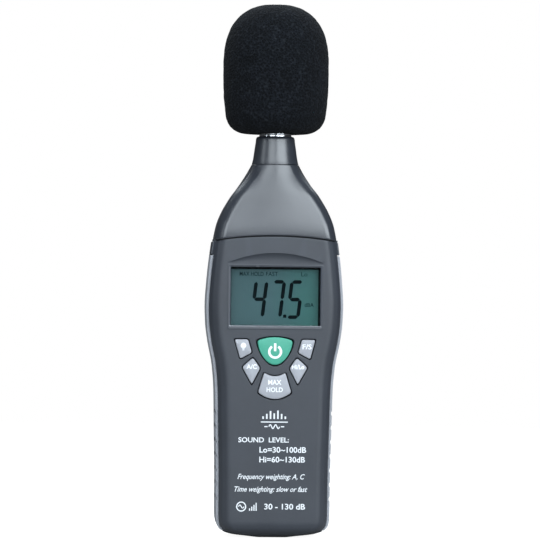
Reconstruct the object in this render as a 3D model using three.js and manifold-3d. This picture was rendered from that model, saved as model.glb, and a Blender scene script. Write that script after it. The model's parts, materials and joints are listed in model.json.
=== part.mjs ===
// Handheld sound level meter: a two-part case with a tapered head, a half-inch measuring
// microphone under a foam windscreen, a segment display and six keys.
// Millimetres, +Z up. The front faces -Y, the foot stands on Z = 0 and the microphone's
// axis is the line X = Y = 0.
import * as THREE from 'three';
import { mergeVertices } from 'three/addons/utils/BufferGeometryUtils.js';
import Module from 'manifold-3d';

const wasm = await Module();
wasm.setup();

// ---------------------------------------------------------------- driving dimensions

const GAP = 0.3; // clearance between touching pieces
const FRONT_Y = -13; // front face of the case
const BACK_Y = 19; // back face of the case
const TOTAL_HEIGHT = 210;
const PARTING_Y = 2; // plane where the front and rear cases meet

// Half-width of the case and of the head, as [height, half-width] stations.
const CASE_WIDTHS = [
  [0, 7], [0.5, 10.3], [1.2, 15.8], [2.4, 19.4], [3.6, 20.9], [5.2, 21.9], [8, 22.3], [24, 22.4],
  [44, 22.8], [58, 23.1], [67.5, 23.9], [77, 25.75], [84, 26.65], [91, 26.9], [101, 26.3], [112, 25.15],
  [121, 23.85],
];
const HEAD_WIDTHS = [
  [113, 24.6], [119, 23.6], [123, 22.7], [127.5, 20.95], [132.2, 18.35], [139.3, 13.6], [144.1, 10.65],
  [147.6, 9], [153.6, 8.05], [155.9, 7.7],
];
// Front and back faces, as [height, y] stations.
const FRONT_LINE = [[0, -8], [0.9, -9.6], [2.2, -11.5], [4, -12.7], [6.5, FRONT_Y], [119, FRONT_Y],
  [131, -11.7], [147.6, -9], [153.6, -8.05], [155.9, -7.7]];
const BACK_LINE = [[0, 14], [0.9, 15], [2.2, 16.2], [4.5, 17.6], [8, 18.7], [12, BACK_Y], [104, BACK_Y],
  [118, 17.4], [132, 13.2], [142, 10.2], [147.6, 9], [153.6, 8.05], [155.9, 7.7]];

const BEVEL_WIDTH = 3.9; // chamfer between the front face and the sides
const BEVEL_DEPTH = 4.4;
const BEVEL_BULGE = 0.3;
const LEDGE = 0.5; // shoulder where the side grips stand out past the bevel
const SHOULDER_DEPTH = 1.5;
const BACK_CORNER = 8; // width of the rounded back edges
const SIDE_END_Y = 10; // where the back edges start to round

const SEAM_Z = 118.7; // groove between head and case, at the middle
const SEAM_RADIUS = 145;
const SEAM_WIDTH = 0.9;

const WALL_FRONT = 1.8;
const WALL_BACK = 2;
const WALL_SIDE = 3.8; // case wall and grip channel together
const WALL_TOP = 2.2; // case wall above the grips
const FLOOR = 1.8;

const GRIP = { zLow: 3, zHigh: 110.8, yFront: -8.6, yBack: 9, thickness: 1.9 };
const SCALLOP = { count: 7, zFirst: 15.4, pitch: 5.6, radius: 1.6, depth: 0.35 };

const WINDOW = { halfWidth: 17.6, zLow: 83.3, zHigh: 106.3, recess: 1.2 };
const ARCH = { zApex: 111.8, halfWidth: 18.6, zEnd: 108, depth: 0.8, zFlush: 107.4 };

const BOARD = { yFront: -5, thickness: 1.6, halfWidth: 18.2, zLow: 46, zHigh: 107.8 };
const KEY_OPENING = 0.25; // growth of the key openings beyond their nominal outlines
const KEY_CLEARANCE = 0.35;
const KEY_TOP_Y = FRONT_Y - 0.7;
const KEY_FLANGE = 0.3;

const MIC_RADIUS = 6.35; // half-inch microphone
const NECK_SEAM_Z = 146.8;
const NECK_TOP_Z = 157.7;
const GRID_TOP_Z = 175.8;

const FOAM = { radius: 20.83, zBottom: 158.8, zWide: 185, corner: 8, power: 2.5 };

const BATTERY = { halfWidth: 13.25, yFront: -1.4, yBack: 16.1, zLow: 15.5, zTop: 61.7 };
const TRAY = { halfWidth: 13.6, zLow: 15.2, zHigh: 70, yFront: -1.7, wall: 1.2 };
const COVER = { halfWidth: 14.3, zLow: 13, zHigh: 74.3, ledgeY: 17.6 };
const COVER_SCREW_Z = 71.5;

const TRIPOD = { z: 84, boreRadius: 3.175, radius: 5, depth: 9.5 };
const TRIMMER = { x: 9, z: 101 };
const CASE_SCREWS = [[-10.5, 8.5], [10.5, 8.5], [-15.5, 111.2], [15.5, 111.2]];
const BOARD_SCREWS = [[-16.4, 49.5], [16.4, 49.5]];

// Nominal key outlines: corners [x, z] and, for each side that starts there, how far it bows out.
const KEYS = {
  power: {
    corners: [[-7.15, 77.6], [0, 67], [7.15, 77.6]], bows: [1.75, 1.75, 1.4], centre: [0, 73.4],
  },
  backlight: {
    corners: [[-16, 78], [-13.7, 70.1], [-8.9, 72.7], [-10.5, 78.1]], bows: [0, 0, 0, 0],
    centre: [-12.3, 74.9],
  },
  response: {
    corners: [[15.95, 78], [10.45, 78.1], [8.95, 72.7], [13.85, 70.1]], bows: [0, 0, 0, 0],
    centre: [12.3, 74.9],
  },
  weighting: {
    corners: [[-8.6, 70.9], [-12.9, 67], [-9, 60.1], [-5.6, 66.6]], bows: [0.1, 0, 0, 0.1],
    centre: [-9, 66.3],
  },
  range: {
    corners: [[8.6, 70.9], [5.6, 66.6], [9, 60.1], [12.9, 67]], bows: [0.1, 0, 0, 0.1],
    centre: [9, 66.3],
  },
  max_hold: {
    corners: [[-4.25, 64.9], [-6.7, 57], [6.7, 57], [4.25, 64.9]], bows: [0, 3.2, 0, -1.4],
    centre: [0, 59.6],
  },
};
const KEY_CORNER = 0.8;

// ---------------------------------------------------------------- geometry helpers

// Smooth function through [at, value] stations that never overshoots between them.
function smoothThrough(stations) {
  const slopes = stations.slice(1).map(([at, value], i) => {
    return (value - stations[i][1]) / (at - stations[i][0]);
  });
  const tangents = stations.map((_, i) => {
    if (i === 0) return slopes[0];
    if (i === slopes.length) return slopes[i - 1];
    const [before, after] = [slopes[i - 1], slopes[i]];
    return before * after <= 0 ? 0 : (2 * before * after) / (before + after);
  });
  return (at) => {
    const last = stations.length - 2;
    let i = 0;
    while (i < last && at > stations[i + 1][0]) i += 1;
    const [x0, v0] = stations[i];
    const [x1, v1] = stations[i + 1];
    const t = THREE.MathUtils.clamp((at - x0) / (x1 - x0), 0, 1);
    const rise = t * t * (3 - 2 * t);
    const leave = t * (1 - t) * (1 - t) * (x1 - x0) * tangents[i];
    const arrive = t * t * (t - 1) * (x1 - x0) * tangents[i + 1];
    return v0 + (v1 - v0) * rise + leave + arrive;
  };
}

function solid(geometry) {
  const bare = geometry.clone();
  bare.deleteAttribute('normal');
  bare.deleteAttribute('uv');
  const merged = mergeVertices(bare, 1e-5);
  const mesh = new wasm.Mesh({
    numProp: 3,
    vertProperties: new Float32Array(merged.attributes.position.array),
    triVerts: new Uint32Array(merged.index.array),
  });
  return new wasm.Manifold(mesh);
}

function geometryOf(manifold) {
  const mesh = manifold.getMesh();
  const geometry = new THREE.BufferGeometry();
  geometry.setAttribute('position', new THREE.BufferAttribute(mesh.vertProperties, 3));
  geometry.setIndex(new THREE.BufferAttribute(mesh.triVerts, 1));
  return geometry;
}

function join(first, ...rest) {
  return geometryOf(rest.reduce((whole, piece) => whole.add(solid(piece)), solid(first)));
}

function cut(first, ...rest) {
  return geometryOf(rest.reduce((whole, piece) => whole.subtract(solid(piece)), solid(first)));
}

function common(first, second) {
  return geometryOf(solid(first).intersect(solid(second)));
}

function box([x0, x1], [y0, y1], [z0, z1]) {
  const geometry = new THREE.BoxGeometry(x1 - x0, y1 - y0, z1 - z0);
  return geometry.translate((x0 + x1) / 2, (y0 + y1) / 2, (z0 + z1) / 2);
}

function rodAlongY(radius, [y0, y1], [x, z], sides = 20) {
  const geometry = new THREE.CylinderGeometry(radius, radius, y1 - y0, sides);
  return geometry.translate(x, (y0 + y1) / 2, z);
}

function rodAlongZ(radius, [z0, z1], [x, y], sides = 20) {
  const geometry = new THREE.CylinderGeometry(radius, radius, z1 - z0, sides);
  return geometry.rotateX(Math.PI / 2).translate(x, y, (z0 + z1) / 2);
}

// A shape drawn in X and Z, extruded from y0 to y1.
function plateAlongY(shape, [y0, y1], curveSegments = 4) {
  const geometry = new THREE.ExtrudeGeometry(shape, { depth: y1 - y0, bevelEnabled: false, curveSegments });
  return geometry.rotateX(Math.PI / 2).translate(0, y1, 0);
}

// A profile of [radius, z] points turned about the microphone's axis.
function turned(profile, sides = 32) {
  const points = profile.map(([radius, z]) => new THREE.Vector2(radius, z));
  return new THREE.LatheGeometry(points, sides).rotateX(Math.PI / 2);
}

function tube(points, radius) {
  const path = new THREE.CatmullRomCurve3(points.map((p) => new THREE.Vector3(...p)));
  const ring = new THREE.Shape();
  ring.absarc(0, 0, radius, 0, Math.PI * 2);
  const steps = Math.ceil(path.getLength() / (radius * 5));
  return new THREE.ExtrudeGeometry(ring, { steps, extrudePath: path, curveSegments: 4 });
}

// Closed skin over rings of equal point counts, each ring counter-clockwise seen from +Z.
function loft(rings) {
  const count = rings[0].length;
  const positions = rings.flat(2);
  const triangles = [];
  for (let level = 0; level + 1 < rings.length; level += 1) {
    for (let i = 0; i < count; i += 1) {
      const next = (i + 1) % count;
      const [a, b] = [level * count + i, level * count + next];
      triangles.push(a, b, b + count, a, b + count, a + count);
    }
  }
  const top = (rings.length - 1) * count;
  for (let i = 1; i + 1 < count; i += 1) {
    triangles.push(0, i + 1, i, top, top + i, top + i + 1);
  }
  const geometry = new THREE.BufferGeometry();
  geometry.setAttribute('position', new THREE.Float32BufferAttribute(positions, 3));
  geometry.setIndex(triangles);
  return geometry;
}

// ---------------------------------------------------------------- case outline

const caseWidth = smoothThrough(CASE_WIDTHS);
const headWidth = smoothThrough(HEAD_WIDTHS);
const frontLine = smoothThrough(FRONT_LINE);
const backLine = smoothThrough(BACK_LINE);

// One ring of the outer skin at a height: flat front, bevel, shoulder, side, round back edge.
// It turns into an ellipse, and then a circle about the microphone's axis, towards the neck.
function ringAt(z, { width, side = 0, front = 0, back = 0, lookup = z, corner = 4 }) {
  const w = width(lookup) - side;
  const yFront = frontLine(lookup) + front;
  const yBack = backLine(lookup) - back;
  const scale = Math.min(1, w / 18);
  const ledge = width === caseWidth && side < GRIP.thickness ? LEDGE * scale : 0;
  const edge = w - ledge;
  const flat = edge - BEVEL_WIDTH * scale;
  const yBevel = yFront + BEVEL_DEPTH * scale;
  const backFlat = w - BACK_CORNER * scale;
  const ySide = THREE.MathUtils.lerp(yBevel, yBack, (SIDE_END_Y - FRONT_Y) / (BACK_Y - FRONT_Y));
  const half = [[0, yFront], [flat, yFront]];
  half.push([(flat + edge) / 2 + BEVEL_BULGE * scale, (yFront + yBevel) / 2 - BEVEL_BULGE * scale]);
  half.push([edge, yBevel]);
  for (const turn of [Math.PI / 4, Math.PI / 2]) {
    half.push([edge + ledge * Math.sin(turn), yBevel + SHOULDER_DEPTH * scale * (1 - Math.cos(turn))]);
  }
  for (let i = 0; i <= corner; i += 1) {
    const turn = (i / corner) * (Math.PI / 2);
    half.push([backFlat + (w - backFlat) * Math.cos(turn), ySide + (yBack - ySide) * Math.sin(turn)]);
  }
  half.push([0, yBack]);
  const roundness = THREE.MathUtils.smoothstep(z, 126, NECK_SEAM_Z);
  const blended = half.map(([x, y]) => {
    const depth = y < 0 ? -yFront : yBack;
    const stretch = THREE.MathUtils.lerp(1, 1 / Math.hypot(x / w, y / depth), roundness);
    return [x * stretch, y * stretch, z];
  });
  const mirrored = blended.slice(1, -1).reverse().map(([x, y]) => [-x, y, z]);
  return [...blended, ...mirrored];
}

function skin(heights, options) {
  return loft(heights.map((z) => ringAt(z, options)));
}

const CASE_HEIGHTS = [0, 0.9, 2, 3.6, 5.9, 9, 24, 44, 58, 67.5, 72, 77, 84, 91, 101, 106, 112, 121];
const LIP_Z = 115; // lower end of the head's lip inside the case
const HEAD_HEIGHTS = [113, 119, 123, 127.5, 132.2, 136, 139.3, 142, 144.1, NECK_SEAM_Z];

function caseInset(side, heights = CASE_HEIGHTS) {
  return skin(heights, { width: caseWidth, side });
}

function cavity(side, front, back, heights) {
  return loft(heights.map((z) => {
    const lookup = z < 20 ? z - FLOOR : z;
    return ringAt(z, { width: caseWidth, side, front, back, lookup, corner: 2 });
  }));
}

// Everything below the seam's arc, lowered or raised by offset.
function belowSeam(offset) {
  const reach = 30;
  const drop = reach ** 2 / (2 * SEAM_RADIUS);
  const shape = new THREE.Shape();
  shape.moveTo(-reach, -5);
  shape.lineTo(reach, -5);
  shape.lineTo(reach, SEAM_Z - drop + offset);
  shape.quadraticCurveTo(0, SEAM_Z + drop + offset, -reach, SEAM_Z - drop + offset);
  return plateAlongY(shape, [-30, 30], 12);
}

// ---------------------------------------------------------------- key outlines

// The corner points moved outwards by distance.
function growCorners(corners, distance) {
  return corners.map((corner, i) => {
    const here = new THREE.Vector2(...corner);
    const before = new THREE.Vector2(...corners.at(i - 1)).sub(here).normalize();
    const after = new THREE.Vector2(...corners[(i + 1) % corners.length]).sub(here).normalize();
    const halfAngle = Math.acos(THREE.MathUtils.clamp(before.dot(after), -1, 1)) / 2;
    const inward = before.add(after).normalize();
    return here.addScaledVector(inward, -distance / Math.sin(halfAngle)).toArray();
  });
}

function keyShape({ corners, bows }, growth) {
  const grown = growCorners(corners, growth);
  const sides = grown.map((corner, i) => {
    const start = new THREE.Vector2(...corner);
    const end = new THREE.Vector2(...grown[(i + 1) % grown.length]);
    const along = end.clone().sub(start);
    const outward = new THREE.Vector2(along.y, -along.x).normalize();
    const turning = THREE.ShapeUtils.area(grown.map((p) => new THREE.Vector2(...p)));
    const middle = start.clone().add(end).multiplyScalar(0.5);
    middle.addScaledVector(outward, 2 * bows[i] * Math.sign(turning));
    return new THREE.QuadraticBezierCurve(start, middle, end);
  });
  const shape = new THREE.Shape();
  sides.forEach((side, i) => {
    const trim = KEY_CORNER / side.getLength();
    const [from, to] = [side.getPoint(trim), side.getPoint(1 - trim)];
    if (i === 0) shape.moveTo(from.x, from.y);
    const bend = side.v1.clone().lerp(side.v0.clone().add(side.v2).multiplyScalar(0.5), trim);
    if (bows[i] === 0) shape.lineTo(to.x, to.y);
    else shape.quadraticCurveTo(bend.x, bend.y, to.x, to.y);
    const next = sides[(i + 1) % sides.length];
    const start = next.getPoint(KEY_CORNER / next.getLength());
    shape.quadraticCurveTo(side.v2.x, side.v2.y, start.x, start.y);
  });
  return shape;
}

// ---------------------------------------------------------------- case pieces

const CAVITY_HEIGHTS = [2.8, 5, 10, 24, 44, 58, 67, 77, 84, 91, 101, 104, 111];
const COLLAR_HEIGHTS = [110.9, 112, 118, 123];

function caseShell() {
  const body = common(caseInset(0), belowSeam(-SEAM_WIDTH / 2));
  const channel = cut(
    box([-30, 30], [GRIP.yFront - GAP, GRIP.yBack + GAP], [GRIP.zLow - GAP, GRIP.zHigh + GAP]),
    caseInset(GRIP.thickness + GAP),
  );
  const hollow = cavity(WALL_SIDE, WALL_FRONT, WALL_BACK, CAVITY_HEIGHTS);
  const throat = cavity(WALL_TOP, WALL_FRONT, WALL_BACK, COLLAR_HEIGHTS);
  return cut(body, channel, hollow, throat);
}

const shell = caseShell();
const wholeCase = caseInset(0);

function archScoop() {
  const outline = new THREE.Shape();
  outline.moveTo(-ARCH.halfWidth, ARCH.zEnd - 2);
  outline.lineTo(ARCH.halfWidth, ARCH.zEnd - 2);
  outline.lineTo(ARCH.halfWidth, ARCH.zEnd);
  outline.quadraticCurveTo(0, 2 * ARCH.zApex - ARCH.zEnd, -ARCH.halfWidth, ARCH.zEnd);
  const region = plateAlongY(outline, [FRONT_Y - 2, FRONT_Y + 2], 12);
  const wedge = new THREE.Shape();
  wedge.moveTo(FRONT_Y - 1, ARCH.zFlush);
  wedge.lineTo(FRONT_Y, ARCH.zFlush);
  wedge.lineTo(FRONT_Y + ARCH.depth, ARCH.zApex + 1);
  wedge.lineTo(FRONT_Y - 1, ARCH.zApex + 1);
  const ramp = new THREE.ExtrudeGeometry(wedge, { depth: 60, bevelEnabled: false });
  ramp.applyMatrix4(new THREE.Matrix4().makeBasis(
    new THREE.Vector3(0, 1, 0), new THREE.Vector3(0, 0, 1), new THREE.Vector3(1, 0, 0),
  )).translate(-30, 0, 0);
  return common(region, ramp);
}

function frontCase() {
  const frontHalf = common(shell, box([-40, 40], [-40, PARTING_Y - GAP / 2], [-5, 130]));
  const inner = FRONT_Y + WALL_FRONT - 0.4;
  const posts = CASE_SCREWS.map((at) => rodAlongY(2.8, [inner, PARTING_Y - GAP / 2], at, 16));
  const boardPosts = BOARD_SCREWS.map((at) => rodAlongY(2.1, [inner, BOARD.yFront - GAP], at, 16));
  const pilots = CASE_SCREWS.map((at) => rodAlongY(1.6, [-7, 5], at, 12));
  const boardPilots = BOARD_SCREWS.map((at) => rodAlongY(1.1, [-9, 0], at, 10));
  const pane = box(
    [-WINDOW.halfWidth, WINDOW.halfWidth], [FRONT_Y - 5, FRONT_Y + 5], [WINDOW.zLow, WINDOW.zHigh],
  );
  const openings = Object.values(KEYS).map((key) => {
    return plateAlongY(keyShape(key, KEY_OPENING), [FRONT_Y - 5, FRONT_Y + 5]);
  });
  const bare = join(frontHalf, ...posts, ...boardPosts);
  return cut(bare, ...pilots, ...boardPilots, pane, ...openings, archScoop());
}

function rearCase() {
  const rearHalf = common(shell, box([-40, 40], [PARTING_Y + GAP / 2, 40], [-5, 130]));
  const { halfWidth, zLow, zHigh, yFront, wall } = TRAY;
  const tray = box(
    [-halfWidth - wall, halfWidth + wall], [yFront - wall, BACK_Y - 1], [zLow - wall, zHigh + wall],
  );
  const bosses = CASE_SCREWS.map((at) => rodAlongY(3.4, [PARTING_Y + GAP / 2, BACK_Y], at, 16));
  const tripodBoss = rodAlongY(7, [BACK_Y - TRIPOD.depth - 1.5, BACK_Y - 0.5], [0, TRIPOD.z], 20);
  const nutPost = box([-3.2, 3.2], [10, BACK_Y - 1], [zHigh + wall - 0.2, zHigh + 4.5]);
  const filled = join(rearHalf, tray, ...bosses, tripodBoss, nutPost);
  const trimmed = common(filled, join(wholeCase, box([-14.8, 14.8], [-5, 5], [10, 80])));
  return cut(
    trimmed,
    box([-halfWidth, halfWidth], [yFront, BACK_Y + 5], [zLow, zHigh]),
    box([-COVER.halfWidth, COVER.halfWidth], [COVER.ledgeY, BACK_Y + 5], [COVER.zLow, COVER.zHigh]),
    box([-3, 3], [4, 10], [zHigh - 1, zHigh + wall + 1]),
    rodAlongY(1.3, [11.5, BACK_Y], [0, COVER_SCREW_Z], 10),
    ...CASE_SCREWS.map((at) => rodAlongY(1.6, [0, 30], at, 12)),
    ...CASE_SCREWS.map((at) => rodAlongY(2.7, [13.3, 30], at, 16)),
    rodAlongY(TRIPOD.radius + GAP, [BACK_Y - TRIPOD.depth - GAP, 30], [0, TRIPOD.z], 24),
    rodAlongY(1.9, [10, 30], [TRIMMER.x, TRIMMER.z], 16),
  );
}

function headShell() {
  const outer = skin(HEAD_HEIGHTS, { width: headWidth });
  const skirt = cut(outer, belowSeam(SEAM_WIDTH / 2));
  const lip = cavity(WALL_TOP + GAP, WALL_FRONT + GAP, WALL_BACK + GAP, [LIP_Z, 119.6]);
  const inner = skin([113, 119, 128], { width: headWidth, side: 3, front: 3, back: 3, corner: 2 });
  const neckRoom = skin([127.5, 132.2, 141], { width: headWidth, side: 3, front: 1.9, back: 2.3 });
  return cut(join(skirt, lip), inner, neckRoom, rodAlongZ(MIC_RADIUS + GAP, [130, 150], [0, 0], 32));
}

function neckCollar() {
  const bore = MIC_RADIUS + GAP;
  return turned([
    [bore, NECK_SEAM_Z + GAP], [headWidth(NECK_SEAM_Z), NECK_SEAM_Z + GAP], [8.6, 150], [8.05, 153.6],
    [7.75, 155.9], [7.5, 157.1], [7.1, NECK_TOP_Z], [bore, NECK_TOP_Z], [bore, NECK_SEAM_Z + GAP],
  ]);
}

function grip(side) {
  const reach = [[side * 10, side * 40].sort((a, b) => a - b), [GRIP.yFront, GRIP.yBack]];
  const band = common(
    cut(wholeCase, caseInset(GRIP.thickness)),
    box(...reach, [GRIP.zLow, GRIP.zHigh]),
  );
  const notches = Array.from({ length: SCALLOP.count }, (_, i) => {
    const z = SCALLOP.zFirst + i * SCALLOP.pitch;
    const x = side * (caseWidth(z) + SCALLOP.radius - SCALLOP.depth);
    return rodAlongY(SCALLOP.radius, [-20, 20], [x, z], 12);
  });
  return cut(band, ...notches);
}

// ---------------------------------------------------------------- display and keys

const LCD = { halfWidth: 18, zLow: 82.8, zHigh: 106.8, yFront: -9.6, thickness: 2.2 };
const STACK = [LCD.yFront + LCD.thickness + GAP, BOARD.yFront - GAP]; // between display and board

function displayWindow() {
  const flange = box([-18.4, 18.4], [FRONT_Y + WALL_FRONT + GAP, LCD.yFront - GAP], [81.9, 107.7]);
  const raised = box(
    [-WINDOW.halfWidth + GAP, WINDOW.halfWidth - GAP],
    [FRONT_Y + WINDOW.recess, LCD.yFront - 0.5],
    [WINDOW.zLow + GAP, WINDOW.zHigh - GAP],
  );
  return join(flange, raised);
}

function lcdPanel() {
  return box(
    [-LCD.halfWidth, LCD.halfWidth], [LCD.yFront, LCD.yFront + LCD.thickness], [LCD.zLow, LCD.zHigh],
  );
}

function lcdHolder() {
  const room = LCD.halfWidth + GAP;
  return cut(
    box([-19.4, 19.4], [LCD.yFront, STACK[1]], [81.7, 107.8]),
    box([-room, room], [-20, 0], [LCD.zLow - GAP, LCD.zHigh + GAP]),
  );
}

function zebraStrip([z0, z1]) {
  return box([-16, 16], STACK, [z0, z1]);
}

function mainBoard() {
  const outline = box(
    [-BOARD.halfWidth, BOARD.halfWidth],
    [BOARD.yFront, BOARD.yFront + BOARD.thickness],
    [BOARD.zLow, BOARD.zHigh],
  );
  return cut(outline, ...BOARD_SCREWS.map((at) => rodAlongY(1.1, [-10, 5], at, 12)));
}

const KEY_REAR = FRONT_Y + WALL_FRONT + GAP;
const MAT = [-8.9, -8.1];
const SWITCH_TOP = -7.3;

function keyCap(key) {
  const cap = plateAlongY(keyShape(key, KEY_OPENING - KEY_CLEARANCE), [KEY_TOP_Y, KEY_REAR + 0.4]);
  const flange = plateAlongY(keyShape(key, KEY_OPENING + KEY_FLANGE), [KEY_REAR, KEY_REAR + 0.8]);
  const stem = rodAlongY(1.6, [KEY_REAR + 0.4, -8.6], key.centre, 12);
  return join(cap, flange, stem);
}

function keypadMat() {
  const sheet = box([-17.6, 17.6], MAT, [52.8, 80.6]);
  return cut(sheet, ...Object.values(KEYS).map((key) => rodAlongY(2.2, [-12, -6], key.centre, 16)));
}

function tactSwitch([x, z]) {
  const body = box([x - 2.6, x + 2.6], [-6.9, STACK[1]], [z - 2.6, z + 2.6]);
  return join(body, rodAlongY(1.7, [SWITCH_TOP, -6.5], [x, z], 12));
}

// ---------------------------------------------------------------- microphone and windscreen

function microphoneBarrel() {
  const [outer, inner] = [MIC_RADIUS, 5.3];
  return turned([
    [inner, 134], [8, 134], [8, 136], [outer, 136], [outer, 171.5], [inner, 171.5], [inner, 134],
  ]);
}

function microphoneGrid() {
  const [low, high, wall] = [171.5 + GAP, GRID_TOP_Z, 0.8];
  const cap = turned([
    [0, high], [0, high - wall], [MIC_RADIUS - wall, high - wall], [MIC_RADIUS - wall, low],
    [MIC_RADIUS, low], [MIC_RADIUS, high - 0.4], [MIC_RADIUS - 0.4, high], [0, high],
  ], 24);
  const slots = [];
  for (const [radius, count] of [[2.1, 4], [4.3, 8]]) {
    for (let i = 0; i < count; i += 1) {
      const turn = (i / count) * Math.PI * 2;
      slots.push(rodAlongZ(0.65, [high - 2, high + 1], [radius * Math.cos(turn), radius * Math.sin(turn)], 6));
    }
  }
  return cut(cap, ...slots);
}

function windscreen() {
  const { radius, zBottom, zWide, corner, power } = FOAM;
  const bore = MIC_RADIUS + GAP;
  const profile = [[0, TOTAL_HEIGHT]];
  const dome = TOTAL_HEIGHT - zWide;
  for (let i = 1; i <= 9; i += 1) {
    const turn = (i / 9) * (Math.PI / 2);
    profile.push([radius * Math.sin(turn) ** (2 / power), zWide + dome * Math.cos(turn) ** (2 / power)]);
  }
  profile.push([radius - 0.5, 170]);
  for (let i = 0; i <= 4; i += 1) {
    const turn = (i / 4) * (Math.PI / 2);
    const x = radius - 1 - corner * (1 - Math.cos(turn));
    profile.push([x, zBottom + corner * (1 - Math.sin(turn))]);
  }
  profile.push([bore, zBottom], [bore, GRID_TOP_Z + 0.5], [0, GRID_TOP_Z + 0.5], [0, TOTAL_HEIGHT]);
  return turned(profile.reverse(), 32);
}

// ---------------------------------------------------------------- power, fasteners, electronics

function battery() {
  const { halfWidth, yFront, yBack, zLow, zTop } = BATTERY;
  const can = box([-halfWidth, halfWidth], [yFront, yBack], [zLow, zTop]);
  const middle = (yFront + yBack) / 2;
  return join(
    can,
    rodAlongZ(2.8, [zTop - 0.5, zTop + 2], [-6.35, middle], 12),
    rodAlongZ(3.8, [zTop - 0.5, zTop + 2], [6.35, middle], 6),
  );
}

function batterySnap() {
  const middle = (BATTERY.yFront + BATTERY.yBack) / 2;
  return box([-12.5, 12.5], [middle - 6, middle + 6], [BATTERY.zTop + 2 + GAP, BATTERY.zTop + 4.8]);
}

function batteryLead(side) {
  const start = BATTERY.zTop + 4.8 + GAP;
  return tube([
    [side * 1.5, 7.3, start], [side * 1.5, 7.1, 71], [side * 1.7, 4.5, 76], [side * 1.6, 0, 79.4],
    [side * 1.5, -2.7, 80],
  ], 0.7);
}

function batteryCover() {
  const inner = COVER.ledgeY + GAP;
  const { halfWidth, zLow, zHigh } = COVER;
  const plate = box([-halfWidth + GAP, halfWidth - GAP], [inner, BACK_Y], [zLow + GAP, zHigh - GAP]);
  const rim = cut(
    box([-13.2, 13.2], [16.9, inner + 0.4], [TRAY.zLow + 0.4, TRAY.zHigh - 0.4]),
    box([-12.2, 12.2], [10, inner], [TRAY.zLow + 1.4, TRAY.zHigh - 1.4]),
  );
  return cut(
    join(plate, rim),
    rodAlongY(1.3, [10, 30], [0, COVER_SCREW_Z], 12),
    ...[0, 1, 2, 3].map((row) => box([-6, 6], [BACK_Y - 0.5, 30], [20 + row * 2.4, 21.2 + row * 2.4])),
  );
}

// A pan head screw along Y with a cross recess in its head.
function screw([x, z], { shank, head, tip, underHead, headTop }) {
  const rod = rodAlongY(shank, [tip, underHead + 0.2], [x, z], 12);
  const cap = rodAlongY(head, [underHead, headTop], [x, z], 16);
  const arm = head * 0.6;
  const depth = [headTop - 0.8, headTop + 1];
  return cut(
    join(rod, cap),
    box([x - arm, x + arm], depth, [z - 0.3, z + 0.3]),
    box([x - 0.3, x + 0.3], depth, [z - arm, z + arm]),
  );
}

function tripodInsert() {
  const ends = [BACK_Y - TRIPOD.depth, BACK_Y - 0.1];
  return cut(
    rodAlongY(TRIPOD.radius, ends, [0, TRIPOD.z], 24),
    rodAlongY(TRIPOD.boreRadius, [ends[0] + 1, 30], [0, TRIPOD.z], 24),
  );
}

const BOARD_REAR = BOARD.yFront + BOARD.thickness + GAP;

function trimmerBody() {
  const { x, z } = TRIMMER;
  return box([x - 3.3, x + 3.3], [BOARD_REAR, BOARD_REAR + 4], [z - 3.3, z + 3.3]);
}

function trimmerRotor() {
  const { x, z } = TRIMMER;
  const start = BOARD_REAR + 4 + GAP;
  return cut(
    join(rodAlongY(2, [start, start + 1.5], [x, z], 16), rodAlongY(1.5, [start + 1, 17.8], [x, z], 16)),
    box([x - 3, x + 3], [17, 20], [z - 0.3, z + 0.3]),
  );
}

// ---------------------------------------------------------------- assembly

const FINISHES = {
  case: { color: 0x585d67, roughness: 0.55, metalness: 0 },
  head: { color: 0x7d848c, roughness: 0.5, metalness: 0 },
  grip: { color: 0x9a9ca2, roughness: 0.75, metalness: 0 },
  foam: { color: 0x1b1e22, roughness: 1, metalness: 0 },
  window: { color: 0xbfd0d2, roughness: 0.08, metalness: 0 },
  lcd: { color: 0x5c7075, roughness: 0.2, metalness: 0 },
  key: { color: 0xc3c6cf, roughness: 0.45, metalness: 0 },
  powerKey: { color: 0x62bfa7, roughness: 0.45, metalness: 0 },
  darkPlastic: { color: 0x24262a, roughness: 0.6, metalness: 0 },
  whitePlastic: { color: 0xdfe3e2, roughness: 0.5, metalness: 0 },
  rubber: { color: 0x3c3f44, roughness: 0.85, metalness: 0 },
  board: { color: 0x1f5c3a, roughness: 0.45, metalness: 0 },
  chrome: { color: 0xc9ccd0, roughness: 0.15, metalness: 1 },
  steel: { color: 0x8b8d90, roughness: 0.35, metalness: 1 },
  brass: { color: 0xb08d4a, roughness: 0.35, metalness: 1 },
  battery: { color: 0x2b2c30, roughness: 0.4, metalness: 0.2 },
  redLead: { color: 0xa22a22, roughness: 0.6, metalness: 0 },
};
const materials = Object.fromEntries(Object.entries(FINISHES).map(([name, finish]) => {
  return [name, new THREE.MeshStandardMaterial(finish)];
}));

const meter = new THREE.Group();

function add(name, geometry, finish) {
  const mesh = new THREE.Mesh(geometry, materials[finish]);
  mesh.name = name;
  meter.add(mesh);
}

add('front_case', frontCase(), 'case');
add('rear_case', rearCase(), 'case');
add('head_shell', headShell(), 'head');
add('neck_collar', neckCollar(), 'head');
add('grip_left', grip(-1), 'grip');
add('grip_right', grip(1), 'grip');

add('display_window', displayWindow(), 'window');
add('lcd_panel', lcdPanel(), 'lcd');
add('lcd_holder', lcdHolder(), 'darkPlastic');
add('backlight_panel', box([-17.5, 17.5], STACK, [85.4, 104.2]), 'whitePlastic');
add('zebra_strip_top', zebraStrip([104.6, 106.6]), 'rubber');
add('zebra_strip_bottom', zebraStrip([83, 85]), 'rubber');
add('main_board', mainBoard(), 'board');
add('keypad_mat', keypadMat(), 'rubber');
for (const [name, key] of Object.entries(KEYS)) {
  add(`key_${name}`, keyCap(key), name === 'power' ? 'powerKey' : 'key');
  add(`switch_${name}`, tactSwitch(key.centre), 'darkPlastic');
}

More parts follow.
